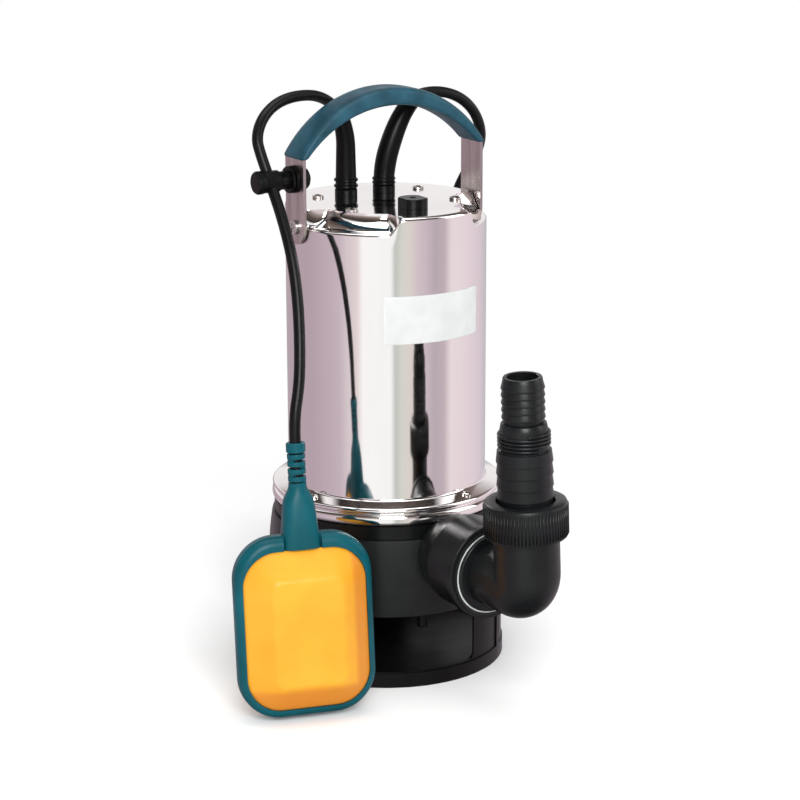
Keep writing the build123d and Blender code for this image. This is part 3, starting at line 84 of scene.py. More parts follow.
# Finishes: colours are sRGB, lengths are millimetres; grain is (size, depth, stretch along x, y, z)
even = (1, 1, 1)
usualLook = {"mottle": 16, "patch": 28, "stretch": even, "metallic": 0, "ior": 1.5, "specular": 0.5,
             "subsurface": 0, "subsurfaceDepth": 0.002}
finishes = {
    # polypropylene, injection moulded in a spark-eroded tool: near black, satin, a fine even grain
    "mouldedPolypropylene": {
        "dark": "#050506", "light": "#0a0b0c", "roughness": (0.3, 0.42), "ior": 1.49, "specular": 0.14,
        "grain": [(0.5, 0.03, even), (11, 0.1, even)]},
    # glass-filled polyamide of the casing and the pipe fittings: black with a soft sheen on its curves
    "glassFilledPolyamide": {
        "dark": "#0c0e0f", "light": "#151819", "mottle": 25, "roughness": (0.26, 0.38), "ior": 1.53,
        "specular": 0.26, "grain": [(0.55, 0.035, even), (17, 0.15, even)]},
    # the band between casing and motor: the same plastic, turned smooth
    "smoothPolyamide": {
        "dark": "#070809", "light": "#0d0f10", "mottle": 25, "roughness": (0.28, 0.36), "ior": 1.53,
        "specular": 0.2, "grain": [(0.7, 0.03, even)]},
    # stainless sheet, deep drawn and polished: a mirror with a slow waviness and fine drawing lines
    "polishedStainless": {
        "dark": "#f1eded", "light": "#faf7f6", "mottle": 33, "stretch": (1, 1, 0.1),
        "roughness": (0.06, 0.1), "patch": 17, "metallic": 1,
        "grain": [(110, 0.8, (1, 1, 0.35)), (1.1, 0.004, (1, 1, 0.02))]},
    # stainless strip, brushed along its length
    "brushedStainless": {
        "dark": "#b3aaa8", "light": "#d2c9c6", "mottle": 3.3, "stretch": (1, 1, 0.05),
        "roughness": (0.24, 0.34), "metallic": 1, "grain": [(0.7, 0.015, (1, 1, 0.03))]},
    # cold-formed stainless screws, bright with small forming marks
    "formedStainless": {
        "dark": "#bdb9b4", "light": "#e6e2de", "mottle": 2, "roughness": (0.14, 0.26), "patch": 5,
        "metallic": 1, "grain": [(0.7, 0.01, even)]},
    # polyamide dyed teal: satin, slightly cloudy in the thick places
    "tealPolyamide": {
        "dark": "#05434c", "light": "#08525d", "mottle": 22, "roughness": (0.3, 0.42), "ior": 1.53,
        "specular": 0.15, "grain": [(0.5, 0.03, even), (8, 0.06, even)]},
    # the handle's grip: the same dye in a polypropylene that is greyer and worn a little dull on top
    "wornTealPolypropylene": {
        "dark": "#0e3744", "light": "#1c4c5d", "mottle": 14, "roughness": (0.34, 0.52), "patch": 9,
        "ior": 1.49, "specular": 0.3, "grain": [(0.9, 0.06, even), (4, 0.08, even)]},
    # blow-moulded polyethylene dyed yellow: light goes a little way in, and broad hollows show on its faces
    "yellowPolyethylene": {
        "dark": "#d79320", "light": "#e1a22f", "mottle": 40, "roughness": (0.32, 0.44), "ior": 1.51,
        # the rim colour is painted shade, a deeper orange on the float panel's slopes turned from the light
        "specular": 0.25, "subsurface": 0.1, "subsurfaceDepth": 0.003, "rim": "#cb8028",
        "grain": [(0.55, 0.03, even), (20, 0.2, even)]},
    # chloroprene cable sheath: dull black, a narrow highlight along its length
    "chloropreneSheath": {
        "dark": "#080809", "light": "#0e0e0f", "mottle": 8, "roughness": (0.28, 0.42), "ior": 1.52,
        "specular": 0.2, "grain": [(0.6, 0.04, even), (5, 0.05, even)]},
    # glands, boots and clip: moulded black plastic, a little glossier than the sheath
    "glandPlastic": {
        "dark": "#050506", "light": "#090a0a", "roughness": (0.26, 0.38), "ior": 1.49, "specular": 0.14,
        "grain": [(0.7, 0.03, even)]},
    # nitrile seal rings: matt black
    "nitrileRubber": {
        "dark": "#0a0a0a", "light": "#121212", "roughness": (0.5, 0.65), "ior": 1.52,
        "grain": [(0.8, 0.04, even)]},
    # impeller plastic: dark grey with a dry, slightly rough face
    "impellerPlastic": {
        "dark": "#1b1c1c", "light": "#262828", "roughness": (0.4, 0.5), "ior": 1.53,
        "grain": [(0.8, 0.04, even)]},
    # ground shaft and bearing rings: bright, with fine marks round the axis
    "groundSteel": {
        "dark": "#8f8e8c", "light": "#b5b3b0", "stretch": (1, 1, 20), "roughness": (0.18, 0.3),
        "metallic": 1, "grain": [(1.7, 0.01, (1, 1, 12))]},
    # stacked electrical sheet: dark grey, fine lines across the stack
    "laminatedSteel": {
        "dark": "#4a4948", "light": "#6a6866", "stretch": (0.2, 0.2, 30), "roughness": (0.4, 0.55),
        "metallic": 0.9, "grain": [(11, 0.1, (0.1, 0.1, 20))]},
    # enamelled copper wire, wound and varnished
    "enamelledCopper": {
        "dark": "#7d3c18", "light": "#b4652f", "mottle": 5, "roughness": (0.28, 0.4), "metallic": 0.85,
        "grain": [(3.3, 0.3, (1, 1, 4))]},
    # die-cast aluminium brackets: pale grey, a dry cast skin
    "castAluminium": {
        "dark": "#8d8f91", "light": "#a9abad", "roughness": (0.4, 0.55), "metallic": 0.9,
        "grain": [(2, 0.08, even)]},
    # lapped ceramic seal faces: off-white and smooth
    "lappedCeramic": {
        "dark": "#d6d2c4", "light": "#e4e0d4", "roughness": (0.12, 0.2), "ior": 1.76,
        "grain": [(1.1, 0.01, even)]},
    # pale grey ring that stands in for the highlight on the discharge socket's edge: painted highlight, soft
    # gloss
    "paintedHighlightGrey": {
        "dark": "#a4a8a8", "light": "#c2c6c6", "mottle": 9, "roughness": (0.25, 0.35), "ior": 1.41,
        "grain": [(0.7, 0.02, even)]},
    # capacitor case: plain off-white plastic
    "capacitorCase": {
        "dark": "#bdbcb7", "light": "#cfceca", "roughness": (0.35, 0.45), "ior": 1.58,
        "grain": [(1.1, 0.03, even)]},
    # plated brass plug pins: pale gold-grey and smooth
    "platedBrass": {
        "dark": "#b8b3a3", "light": "#d1ccbc", "roughness": (0.15, 0.28), "metallic": 1,
        "grain": [(1.1, 0.01, even)]},
    # polyester film of the bare rating plate: white with a soft gloss
    "whiteFilm": {
        "dark": "#eaecec", "light": "#f3f4f4", "mottle": 12, "roughness": (0.3, 0.4), "ior": 1.58,
        "grain": [(0.7, 0.01, even)]},
}


# The float's own frame: its centre, the way it leans and the way its face looks
floatCentre = Vector((0.0745, -0.107, 0.0604))
floatUp = Vector((-math.tan(math.radians(6)), math.tan(math.radians(1.1)), 1)).normalized()
floatFace = Vector((math.cos(math.radians(-16.5)), math.sin(math.radians(-16.5)), 0))
# the panel's size, and where on it the painted shade of its slopes fades in
floatPanel = {"halfWidth": 0.0395, "halfHeight": 0.051, "leftShare": 0.74, "shadeFrom": 0.7, "shadeTo": 0.82}


def fromFrame(origin, xAxis, zAxis):
    # matrix that carries local shapes to a place with the given x and z directions
    z = Vector(zAxis).normalized()
    x = (Vector(xAxis) - z * Vector(xAxis).dot(z)).normalized()
    y = z.cross(x)
    return Matrix.Translation(origin) @ Matrix((x, y, z)).transposed().to_4x4()


floatPlace = fromFrame(floatCentre, floatUp.cross(floatFace), floatUp)


def paintedRimShade(tree, coords, colour, rim):
    # painted shade: a deeper orange on the panel's slopes that fall away from the light, to its right and
    # below
    half = (floatPanel["halfWidth"], 1, floatPanel["halfHeight"])
    local = addNode(tree, "ShaderNodeMapping", {
        "Vector": coords, "Location": floatCentre, "Rotation": floatPlace.to_euler(), "Scale": half},
        vector_type="TEXTURE")
    split = addNode(tree, "ShaderNodeSeparateXYZ", {0: local.outputs["Vector"]})
    below = addNode(tree, "ShaderNodeMath", {0: split.outputs["Z"], 1: -1.0}, operation="MULTIPLY")
    beside = addNode(tree, "ShaderNodeMath", {0: split.outputs["X"], 1: -floatPanel["leftShare"]},
                     operation="MULTIPLY")
    sides = addNode(tree, "ShaderNodeMath", {0: split.outputs["X"], 1: beside.outputs[0]},
                    operation="MAXIMUM")
    reach = addNode(tree, "ShaderNodeMath", {0: sides.outputs[0], 1: below.outputs[0]}, operation="MAXIMUM")
    share = addNode(tree, "ShaderNodeMapRange", {
        "Value": reach.outputs[0], "From Min": floatPanel["shadeFrom"], "From Max": floatPanel["shadeTo"]},
        interpolation_type="SMOOTHSTEP")
    return addNode(tree, "ShaderNodeMix", {
        0: share.outputs["Result"], 6: colour.outputs[2], 7: linear(rim)}, data_type="RGBA")


def clouds(tree, coords, size, detail, low=0.0, high=1.0):
    # soft noise of a size in millimetres that runs from low to high
    noise = addNode(tree, "ShaderNodeTexNoise", {"Vector": coords, "Scale": 1000 / size, "Detail": detail})
    spread = addNode(tree, "ShaderNodeMapRange", {
        "Value": noise.outputs["Fac"], "From Min": 0.3, "From Max": 0.7, "To Min": low, "To Max": high})
    return spread.outputs[0]


def surface(name, look):
    # two tones in slow clouds, roughness in patches, and grain at its own scale
    look = usualLook | look
    material = bpy.data.materials.new(name)
    material.use_nodes = True
    tree = material.node_tree
    shader = tree.nodes["Principled BSDF"]
    coords = addNode(tree, "ShaderNodeTexCoord").outputs["Object"]
    drawn = addNode(tree, "ShaderNodeMapping", {
        "Vector": coords, "Scale": look["stretch"]}).outputs["Vector"]
    colour = addNode(tree, "ShaderNodeMix", {
        0: clouds(tree, drawn, look["mottle"], 4), 6: linear(look["dark"]), 7: linear(look["light"])},
        data_type="RGBA")
    # painted shade: the rim colour laid on the float panel's slopes that face away from the light
    if "rim" in look:
        colour = paintedRimShade(tree, coords, colour, look["rim"])
    tree.links.new(colour.outputs[2], shader.inputs["Base Color"])
    tree.links.new(clouds(tree, drawn, look["patch"], 5, *look["roughness"]), shader.inputs["Roughness"])
    shader.inputs["Metallic"].default_value = look["metallic"]
    shader.inputs["IOR"].default_value = look["ior"]
    shader.inputs["Specular IOR Level"].default_value = look["specular"]
    shader.inputs["Subsurface Weight"].default_value = look["subsurface"]
    shader.inputs["Subsurface Scale"].default_value = look["subsurfaceDepth"]
    normal = None
    for size, depth, pull in look["grain"]:
        pulled = addNode(tree, "ShaderNodeMapping", {"Vector": coords, "Scale": pull}).outputs["Vector"]
        height = addNode(tree, "ShaderNodeTexNoise", {"Vector": pulled, "Scale": 1000 / size, "Detail": 2})
        inputs = {"Height": height.outputs["Fac"], "Strength": 1.0, "Distance": depth / 1000}
        if normal:
            inputs["Normal"] = normal
        normal = addNode(tree, "ShaderNodeBump", inputs).outputs["Normal"]
    tree.links.new(normal, shader.inputs["Normal"])
    return material


materials = {name: surface(name, look) for name, look in finishes.items()}
finishOfSlot = {
    "black_plastic": "mouldedPolypropylene", "volute_black": "glassFilledPolyamide",
    "band_black": "smoothPolyamide", "polished_steel": "polishedStainless",
    "satin_steel": "brushedStainless", "screw_steel": "formedStainless",
    "teal_plastic": "tealPolyamide", "yellow_plastic": "yellowPolyethylene",
    "cable_rubber": "chloropreneSheath", "gland_black": "glandPlastic", "seal_rubber": "nitrileRubber",
    "impeller_plastic": "impellerPlastic", "shaft_steel": "groundSteel", "core_steel": "laminatedSteel",
    "winding_copper": "enamelledCopper", "bracket_metal": "castAluminium", "ceramic": "lappedCeramic",
    "capacitor_shell": "capacitorCase", "pin_metal": "platedBrass",
}
slotOf = {part["node"]: part["material_slot"] for part in frame["record"]["subparts"]}
for name, node in nodes.items():
    for slot in node.material_slots:
        slot.material = materials[finishOfSlot[slotOf[name]]]
report("finishes")


# Cords: the same points as the solids' routes
cableRadius = 0.0036


def mm(points):
    return [Vector(point) / 1000 for point in points]


def tubeCurve(name, points, bevel, steps, facets, radii=None):
    # a round tube on a smooth curve; each point's own radius multiplies the bevel
    curve = bpy.data.curves.new(name, "CURVE")
    curve.dimensions = "3D"
    spline = curve.splines.new("NURBS")
    spline.points.add(len(points) - 1)
    for target, point, radius in zip(spline.points, points, radii or [1] * len(points)):
        target.co = (*point, 1)
        target.radius = radius
    spline.order_u = 3
    spline.use_endpoint_u = True
    spline.resolution_u = steps
    curve.bevel_depth = bevel
    curve.bevel_resolution = facets
    curve.use_fill_caps = True
    return curve


def cordCurve(name, points):
    curve = tubeCurve(name, points, cableRadius, 10, 5)
    curve.materials.append(materials["chloropreneSheath"])
    piece = bpy.data.objects.new(name, curve)
    bpy.context.collection.objects.link(piece)
    return piece


floatLoop = mm([
    (-25.5, -17.75, 357.75), (-25, -21, 366.5), (-24.5, -35, 375.8), (-24.2, -52, 377),
    (-22.2, -67.5, 373.8), (-17.5, -80.5, 366), (-12.8, -87.8, 354.5), (-7.8, -87.4, 343.8),
    (-1.5, -85.7, 331)])
floatDrop = mm([
    (0, -85.5, 328), (9.8, -85.6, 315.6), (20.7, -86, 299.6), (32, -87.4, 281.4), (42, -90, 258.8),
    (50, -93.6, 234.6), (56.4, -97.9, 210.4), (60.8, -104.6, 190.1), (62.4, -104.9, 175.7)])
mainsLead = mm([
    (-24.1, 38.2, 369.5), (-24, 43, 371.5), (-23.6, 57.5, 371.5), (-23.2, 71.5, 367),
    (-24, 83, 358), (-26, 90.5, 346), (-28.5, 93, 334.5), (-31.5, 88.5, 320.5), (-35.5, 82, 307.5),
    (-39.5, 78, 292), (-42, 76.5, 262), (-43.5, 76.8, 200), (-45.3, 77.3, 127), (-46, 77, 88),
    (-51.7, 72, 69.7), (-62.3, 62.7, 55.6), (-76, 50.6, 48), (-90, 36.5, 45.5), (-104, 25, 38.5)])
plugLead = mm([
    (-173.5, 15, 36), (-190, 23.5, 44.5), (-202, 37.5, 53), (-207.3, 55.1, 58.4), (-208.8, 72, 59.3)])
coilShape = {"centre": (-0.145, 0.089), "middle": 0.065, "pitch": 0.0078, "drop": 0.0079, "top": 0.0358,
             "layers": (5, 4, 5, 4, 5), "perTurn": 14, "slideFrom": 0.75}


def coilTurns(shape, start):
    # layers of turns that lie beside and on each other, wound from the top down
    points = []
    for level, count in enumerate(shape["layers"]):
        height = shape["top"] - level * shape["drop"]
        radii = [shape["middle"] + shape["pitch"] * (i - (count - 1) / 2) for i in range(count)]
        if level % 2:
            radii.reverse()
        for i, radius in enumerate(radii):
            last = i + 1 == count
            following = radius if last else radii[i + 1]
            for k in range(shape["perTurn"]):
                share = k / shape["perTurn"]
                # the last part of a turn slides over to the next
                slide = max(0, (share - shape["slideFrom"]) / (1 - shape["slideFrom"]))
                reach = radius + (following - radius) * slide
                sink = shape["drop"] * slide if last and level + 1 < len(shape["layers"]) else 0
                turn = start - 2 * math.pi * share
                points.append(Vector((shape["centre"][0] + reach * math.cos(turn),
                                      shape["centre"][1] + reach * math.sin(turn), height - sink)))
    return points


coilFrom = mainsLead[-1].xy - Vector(coilShape["centre"])
coilStart = math.atan2(coilFrom.y, coilFrom.x)
mains = cordCurve("mainsCable", mainsLead + coilTurns(coilShape, coilStart) + plugLead)
loop = cordCurve("floatCableLoop", floatLoop)
drop = cordCurve("floatCableDrop", floatDrop)
for piece, body, replaced in ((mains, "pump", ["power_cable", "cable_coil", "plug_cable"]),
                              (loop, "pump", ["float_cable_upper"]), (drop, "float", ["float_cable_lower"])):
    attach(piece, body)
    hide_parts(*replaced)
report("cords")


# Helpers that turn forms into finished pieces
def meshPiece(name, mesh, finish, body, replaced=(), smooth=True):
    piece = bpy.data.objects.new(name, mesh)
    bpy.context.collection.objects.link(piece)
    mesh.materials.clear()
    mesh.materials.append(materials[finish])
    mesh.polygons.foreach_set("use_smooth", [smooth] * len(mesh.polygons))
    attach(piece, body)
    if replaced:
        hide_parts(*replaced)
    return piece


def newTree(name, sizes):
    # an empty Geometry Nodes tree with a geometry socket, one socket for each size and one for the finish
    tree = bpy.data.node_groups.new(name, "GeometryNodeTree")
    for label, kind in {"Geometry": "Geometry", **sizes, "Finish": "Material"}.items():
        tree.interface.new_socket(label, in_out="INPUT", socket_type="NodeSocket" + kind)
    tree.interface.new_socket("Geometry", in_out="OUTPUT", socket_type="NodeSocketGeometry")
    return tree, addNode(tree, "NodeGroupInput").outputs


def closeTree(tree, geometry, given):
    realized = addNode(tree, "GeometryNodeRealizeInstances", {"Geometry": geometry})
    painted = addNode(tree, "GeometryNodeSetMaterial", {
        "Geometry": realized.outputs[0], "Material": given["Finish"]})
    addNode(tree, "NodeGroupOutput", {"Geometry": painted.outputs[0]})
    return tree


def plainMesh(helper):
    # the mesh that a helper object shows, taken off it before it goes
    bpy.context.collection.objects.link(helper)
    mesh = bpy.data.meshes.new_from_object(helper.evaluated_get(bpy.context.evaluated_depsgraph_get()))
    helper.modifiers.clear()
    bpy.data.objects.remove(helper)
    return mesh


def grown(name, base, tree, values, finish):
    # the plain mesh that a tree makes of a base mesh
    carrier = bpy.data.objects.new(name + "Base", base)
    modifier = carrier.modifiers.new(tree.name, "NODES")
    modifier.node_group = tree
    given = {**values, "Finish": materials[finish]}
    for item in tree.interface.items_tree:
        if item.in_out == "INPUT" and item.name in given:
            modifier[item.identifier] = given[item.name]
    mesh = plainMesh(carrier)
    mesh.name = name
    return mesh


def finishedMesh(name, form, sharpFrom):
    mesh = bpy.data.meshes.new(name)
    form.to_mesh(mesh)
    form.free()
    mesh.set_sharp_from_angle(angle=math.radians(sharpFrom))
    return mesh


def joinRings(form, rings):
    # faces between each ring of vertices and the next
    for ring, following in zip(rings, rings[1:]):
        for i, vert in enumerate(ring):
            j = (i + 1) % len(ring)
            form.faces.new((vert, ring[j], following[j], following[i]))


def turned(name, profile, place, steps=96):
    # a closed outline of (radius, height) points in millimetres, turned about the z axis of a place
    form = bmesh.new()
    turns = [2 * math.pi * i / steps for i in range(steps)]
    rings = []
    for radius, height in profile:
        ring = [Vector((radius * math.cos(turn), radius * math.sin(turn), height)) for turn in turns]
        rings.append([form.verts.new(place @ (point / 1000)) for point in ring])
    joinRings(form, rings + rings[:1])
    bmesh.ops.remove_doubles(form, verts=form.verts[:], dist=0.000001)
    bmesh.ops.delete(form, geom=[edge for edge in form.edges if not edge.link_faces], context="EDGES")
    bmesh.ops.recalc_face_normals(form, faces=form.faces[:])
    return finishedMesh(name, form, 32)


def squarePoint(turn, square):
    # a point on the edge of a rounded square of half width 1
    c, s = math.cos(turn), math.sin(turn)
    reach = (abs(c) ** square + abs(s) ** square) ** (-1 / square)
    return reach * c, reach * s


# Cross-recessed screw heads, one pattern set on every seat
screwHead = {"thickness": 0.55, "dome": 0.22, "crossLength": 0.62, "crossWidth": 0.2, "crossFloor": 0.12,
             "floorRadius": 0.97, "steps": 28, "lift": 0.0001}
# seats are radius and angle round the pump's axis, height, and how far the head leans up from level
screwSets = {
    "flangeScrewHeads": {"replaced": "flange_screws", "radius": 0.0031,
                         "seats": [(0.0705, angle, 0.12235, 76) for angle in (16, 106, 196, 286)]},
    "lidScrewHeads": {"replaced": "lid_screws", "radius": 0.0038,
                      "seats": [(0.045, angle, 0.308, 90) for angle in (-60, 60, 120, 180, -132)]},
    "handleScrewHeads": {"replaced": "handle_screws", "radius": 0.0046,
                         "seats": [(0.0679, angle, 0.297, 0) for angle in (-90, 90)]},
}


def makeScrewHead(shape):
    # a head of radius 1 with a cross cut into its domed top
    curve = bpy.data.curves.new("screwHead", "CURVE")
    curve.dimensions = "2D"
    curve.fill_mode = "BOTH"
    steps, thickness = shape["steps"], shape["thickness"]
    length, width = shape["crossLength"], shape["crossWidth"] / 2
    rim = [(math.cos(2 * math.pi * i / steps), math.sin(2 * math.pi * i / steps)) for i in range(steps)]
    cross = [(c * x - s * y, s * x + c * y) for c, s in ((1, 0), (0, 1), (-1, 0), (0, -1))
             for x, y in ((length, -width), (length, width), (width, width))]
    for outline in (rim, cross):
        spline = curve.splines.new("POLY")
        spline.points.add(len(outline) - 1)
        for target, (x, y) in zip(spline.points, outline):
            target.co = (x, y, 0, 1)
        spline.use_cyclic_u = True
    curve.extrude = thickness / 2
    mesh = plainMesh(bpy.data.objects.new("screwHeadHelper", curve))
    form = bmesh.new()
    form.from_mesh(mesh)
    bmesh.ops.remove_doubles(form, verts=form.verts[:], dist=0.0001)
    for vert in form.verts:
        vert.co.z += thickness / 2
    floor = bmesh.ops.create_circle(form, cap_ends=True, segments=steps, radius=shape["floorRadius"])
    for vert in floor["verts"]:
        vert.co.z = shape["crossFloor"]
    for vert in form.verts:
        # only the top is domed
        if vert.co.z > thickness * 0.9:
            vert.co.z -= shape["dome"] * (vert.co.x ** 2 + vert.co.y ** 2)
    form.to_mesh(mesh)
    form.free()
    return mesh


def seatTree():
    # the head set on every vertex, turned to face along that vertex's outward direction
    tree, given = newTree("screwSeats", {"Head Radius": "Float", "Head": "Object"})
    source = addNode(tree, "GeometryNodeObjectInfo", {"Object": given["Head"]})
    facing = addNode(tree, "GeometryNodeInputNamedAttribute", {"Name": "facing"}, data_type="FLOAT_VECTOR")
    turn = addNode(tree, "FunctionNodeAlignRotationToVector", {"Vector": facing.outputs[0]}, axis="Z")
    points = addNode(tree, "GeometryNodeMeshToPoints", {"Mesh": given["Geometry"]})
    placed = addNode(tree, "GeometryNodeInstanceOnPoints", {
        "Points": points.outputs[0], "Instance": source.outputs["Geometry"], "Rotation": turn.outputs[0],
        "Scale": given["Head Radius"]})
    return closeTree(tree, placed.outputs[0], given)


def makeScrewHeads():
    head = bpy.data.objects.new("screwHead", makeScrewHead(screwHead))
    tree = seatTree()
    for name, data in screwSets.items():
        base = bpy.data.meshes.new(name + "Seats")
        places, facings = [], []
        for radius, angle, height, tilt in data["seats"]:
            a, t = math.radians(angle), math.radians(tilt)
            facing = Vector((math.cos(a) * math.cos(t), math.sin(a) * math.cos(t), math.sin(t)))
            seat = Vector((radius * math.cos(a), radius * math.sin(a), height))
            places.append(seat + facing * screwHead["lift"])
            facings.extend(facing)
        base.from_pydata(places, [], [])
        base.attributes.new("facing", "FLOAT_VECTOR", "POINT").data.foreach_set("vector", facings)
        mesh = grown(name, base, tree, {"Head Radius": data["radius"], "Head": head}, "formedStainless")
        meshPiece(name, mesh, "formedStainless", "pump", [data["replaced"]], smooth=False)
    bpy.data.objects.remove(head)


makeScrewHeads()
report("screw heads")


# Discharge: union nut with its grip ribs, and the hose tail with barbs and a real thread; millimetres
lean = math.radians(2.4)
armPlace = fromFrame((0.166, 0, 0.09), (1, 0, 0), (0, -math.sin(lean), math.cos(lean)))
unionNut = {"bore": 23.68, "root": 25.8, "bottom": 36, "top": 59, "lip": 18.4, "lipHeight": 4, "edge": 0.6,
            "shoulder": 2.2, "shoulderDrop": 0.8,
            "ribs": 72, "ribWidth": 1.1, "ribDepth": 1.2, "ribHeight": 18.5, "ribDrop": 0.6}
hoseTail = {
    # outlines as radius and height, from the bore at the foot up the outside and back down the bore
    "collar": [(13.8, 51.2), (22.6, 51.2), (22.6, 54.8), (16.8, 54.8)],
    "wideBarbs": {"crest": 17.6, "root": 16.8, "start": 60.5, "stop": 91, "count": 4},
    "middle": [(15.8, 91.2), (15.8, 91.7), (15, 92.5), (15, 103.5), (14.6, 105.3), (14.1, 107.8),
               (13.6, 108.4), (12.1, 108.5)],
    "narrowBarbs": {"crest": 13.5, "root": 12.5, "start": 111, "stop": 134, "count": 5},
    "mouth": [(12.1, 136.4), (11.7, 137), (10, 137), (9.6, 136.6), (9.6, 102), (13.8, 88.5)],
    "threadRoot": 15, "threadFrom": 93.3, "threadTo": 102.7, "threadPitch": 2.31, "ridge": 1,
}
# a barb's points as radius from its crest and height from its lower edge
barbTooth = [(-0.2, 0.3), (0, 0.8), (-0.1, 1.4)]


def ribTree():
    # upright ribs stood round a circle
    tree, given = newTree("gripRibs", {"Rib Count": "Int", "Root Radius": "Float", "Rib Width": "Float",
                                       "Rib Depth": "Float", "Rib Height": "Float"})
    circle = addNode(tree, "GeometryNodeMeshCircle", {
        "Vertices": given["Rib Count"], "Radius": given["Root Radius"]})
    rib = addNode(tree, "GeometryNodeMeshCylinder", {"Vertices": 10, "Radius": 0.5, "Depth": 1.0})
    size = addNode(tree, "ShaderNodeCombineXYZ", {
        0: given["Rib Depth"], 1: given["Rib Width"], 2: given["Rib Height"]})
    place = addNode(tree, "GeometryNodeInputPosition")
    turn = addNode(tree, "FunctionNodeAlignRotationToVector", {"Vector": place.outputs[0]}, axis="X")
    placed = addNode(tree, "GeometryNodeInstanceOnPoints", {
        "Points": circle.outputs["Mesh"], "Instance": rib.outputs["Mesh"], "Rotation": turn.outputs[0],
        "Scale": size.outputs[0]})
    return closeTree(tree, placed.outputs[0], given)


def threadTree():
    # a ridge of round section that climbs round a cylinder
    tree, given = newTree("threadRidge", {"Turns": "Float", "Radius": "Float", "Climb": "Float",
                                          "Ridge": "Float"})
    helix = addNode(tree, "GeometryNodeCurveSpiral", {
        "Resolution": 72, "Rotations": given["Turns"], "Start Radius": given["Radius"],
        "End Radius": given["Radius"], "Height": given["Climb"]})
    section = addNode(tree, "GeometryNodeCurvePrimitiveCircle", {"Resolution": 8, "Radius": given["Ridge"]})
    ridge = addNode(tree, "GeometryNodeCurveToMesh", {
        "Curve": helix.outputs["Curve"], "Profile Curve": section.outputs["Curve"], "Fill Caps": True})
    return closeTree(tree, ridge.outputs[0], given)


def makeUnionNut(data):
    low, top, root, bore, lip = (data[key] for key in ("bottom", "top", "root", "bore", "lip"))
    edge, shoulder, seat = data["edge"], data["shoulder"], top - data["lipHeight"]
    profile = [
        (bore, low + edge), (bore + edge, low), (root - 2 * edge, low), (root - edge / 2, low + edge / 2),
        (root, low + 2 * edge), (root, top - shoulder), (root - edge, top - data["shoulderDrop"]),
        (root - shoulder, top), (lip + edge, top), (lip, top - edge), (lip, seat), (bore, seat)]
    meshPiece("unionNutBody", turned("unionNutBody", profile, armPlace), "glassFilledPolyamide", "nut",
              ["union_nut"])
    ribs = grown("unionNutRibs", bpy.data.meshes.new("ribBase"), ribTree(), {
        "Rib Count": data["ribs"], "Root Radius": root / 1000, "Rib Width": data["ribWidth"] / 1000,
        "Rib Depth": data["ribDepth"] / 1000, "Rib Height": data["ribHeight"] / 1000},
        "glassFilledPolyamide")
    ribs.transform(armPlace @ Matrix.Translation((0, 0, ((low + top) / 2 - data["ribDrop"]) / 1000)))
    meshPiece("unionNutRibs", ribs, "glassFilledPolyamide", "nut")


def barbs(crest, root, start, stop, count):
    # saw-tooth barbs, each widest just above its lower edge
    points = []
    for i in range(count):
        low = start + i * (stop - start) / count
        points += [(root, low)] + [(crest + out, low + up) for out, up in barbTooth]
    return points + [(root, stop)]


def makeHoseTail(data):
    profile = [*data["collar"], *barbs(**data["wideBarbs"]), *data["middle"], *barbs(**data["narrowBarbs"]),
               *data["mouth"]]
    meshPiece("hoseTail", turned("hoseTail", profile, armPlace), "glassFilledPolyamide", "pump",
              ["hose_adapter"])
    climb = data["threadTo"] - data["threadFrom"]
    ridge = grown("hoseTailThread", bpy.data.meshes.new("threadBase"), threadTree(), {
        "Turns": climb / data["threadPitch"], "Radius": (data["threadRoot"] + data["ridge"] / 2) / 1000,
        "Climb": climb / 1000, "Ridge": data["ridge"] / 1000}, "glassFilledPolyamide")
    ridge.transform(armPlace @ Matrix.Translation((0, 0, data["threadFrom"] / 1000)))
    meshPiece("hoseTailThread", ridge, "glassFilledPolyamide", "pump")


makeUnionNut(unionNut)
makeHoseTail(hoseTail)
report("union nut and hose tail")


# Boots of the two cables: tapered along the cable's route, with moulded rings; millimetres
boots = {
    "floatBoot": {"route": [(-26, -14.5, 313), (-26, -14.5, 331), (-26, -14.5, 349),
                            (-25.5, -17.75, 357.75)],
                  "radii": (7.0, 6.6, 6.1, 5.7), "replaced": "float_boot"},
    "powerBoot": {"route": [(-26, 14.5, 313), (-26, 14.5, 325), (-24.8, 22, 348), (-24.2, 31, 363.5),
                            (-24.1, 38.2, 369.5)],
                  "radii": (6.8, 7.3, 6.9, 6.0, 5.6), "replaced": "power_boot"},
}
bootRings = {"count": 2, "first": 0.1, "last": 0.32, "sink": 0.1, "thickness": 1.1}


def ringTree():
    # thin rings threaded on the first part of a curve
    tree, given = newTree("bootRings", {"Ring Count": "Int", "Ring Radius": "Float",
                                        "Ring Thickness": "Float"})
    path = addNode(tree, "GeometryNodeMeshToCurve", {"Mesh": given["Geometry"]})
    points = addNode(tree, "GeometryNodeCurveToPoints", {
        "Curve": path.outputs[0], "Count": given["Ring Count"]}, mode="COUNT")
    circle = addNode(tree, "GeometryNodeCurvePrimitiveCircle", {
        "Resolution": 40, "Radius": given["Ring Radius"]})
    section = addNode(tree, "GeometryNodeCurvePrimitiveCircle", {
        "Resolution": 8, "Radius": given["Ring Thickness"]})
    ring = addNode(tree, "GeometryNodeCurveToMesh", {"Curve": circle.outputs["Curve"],
                                                     "Profile Curve": section.outputs["Curve"]})
    placed = addNode(tree, "GeometryNodeInstanceOnPoints", {
        "Points": points.outputs["Points"], "Instance": ring.outputs[0],
        "Rotation": points.outputs["Rotation"]})
    return closeTree(tree, placed.outputs[0], given)


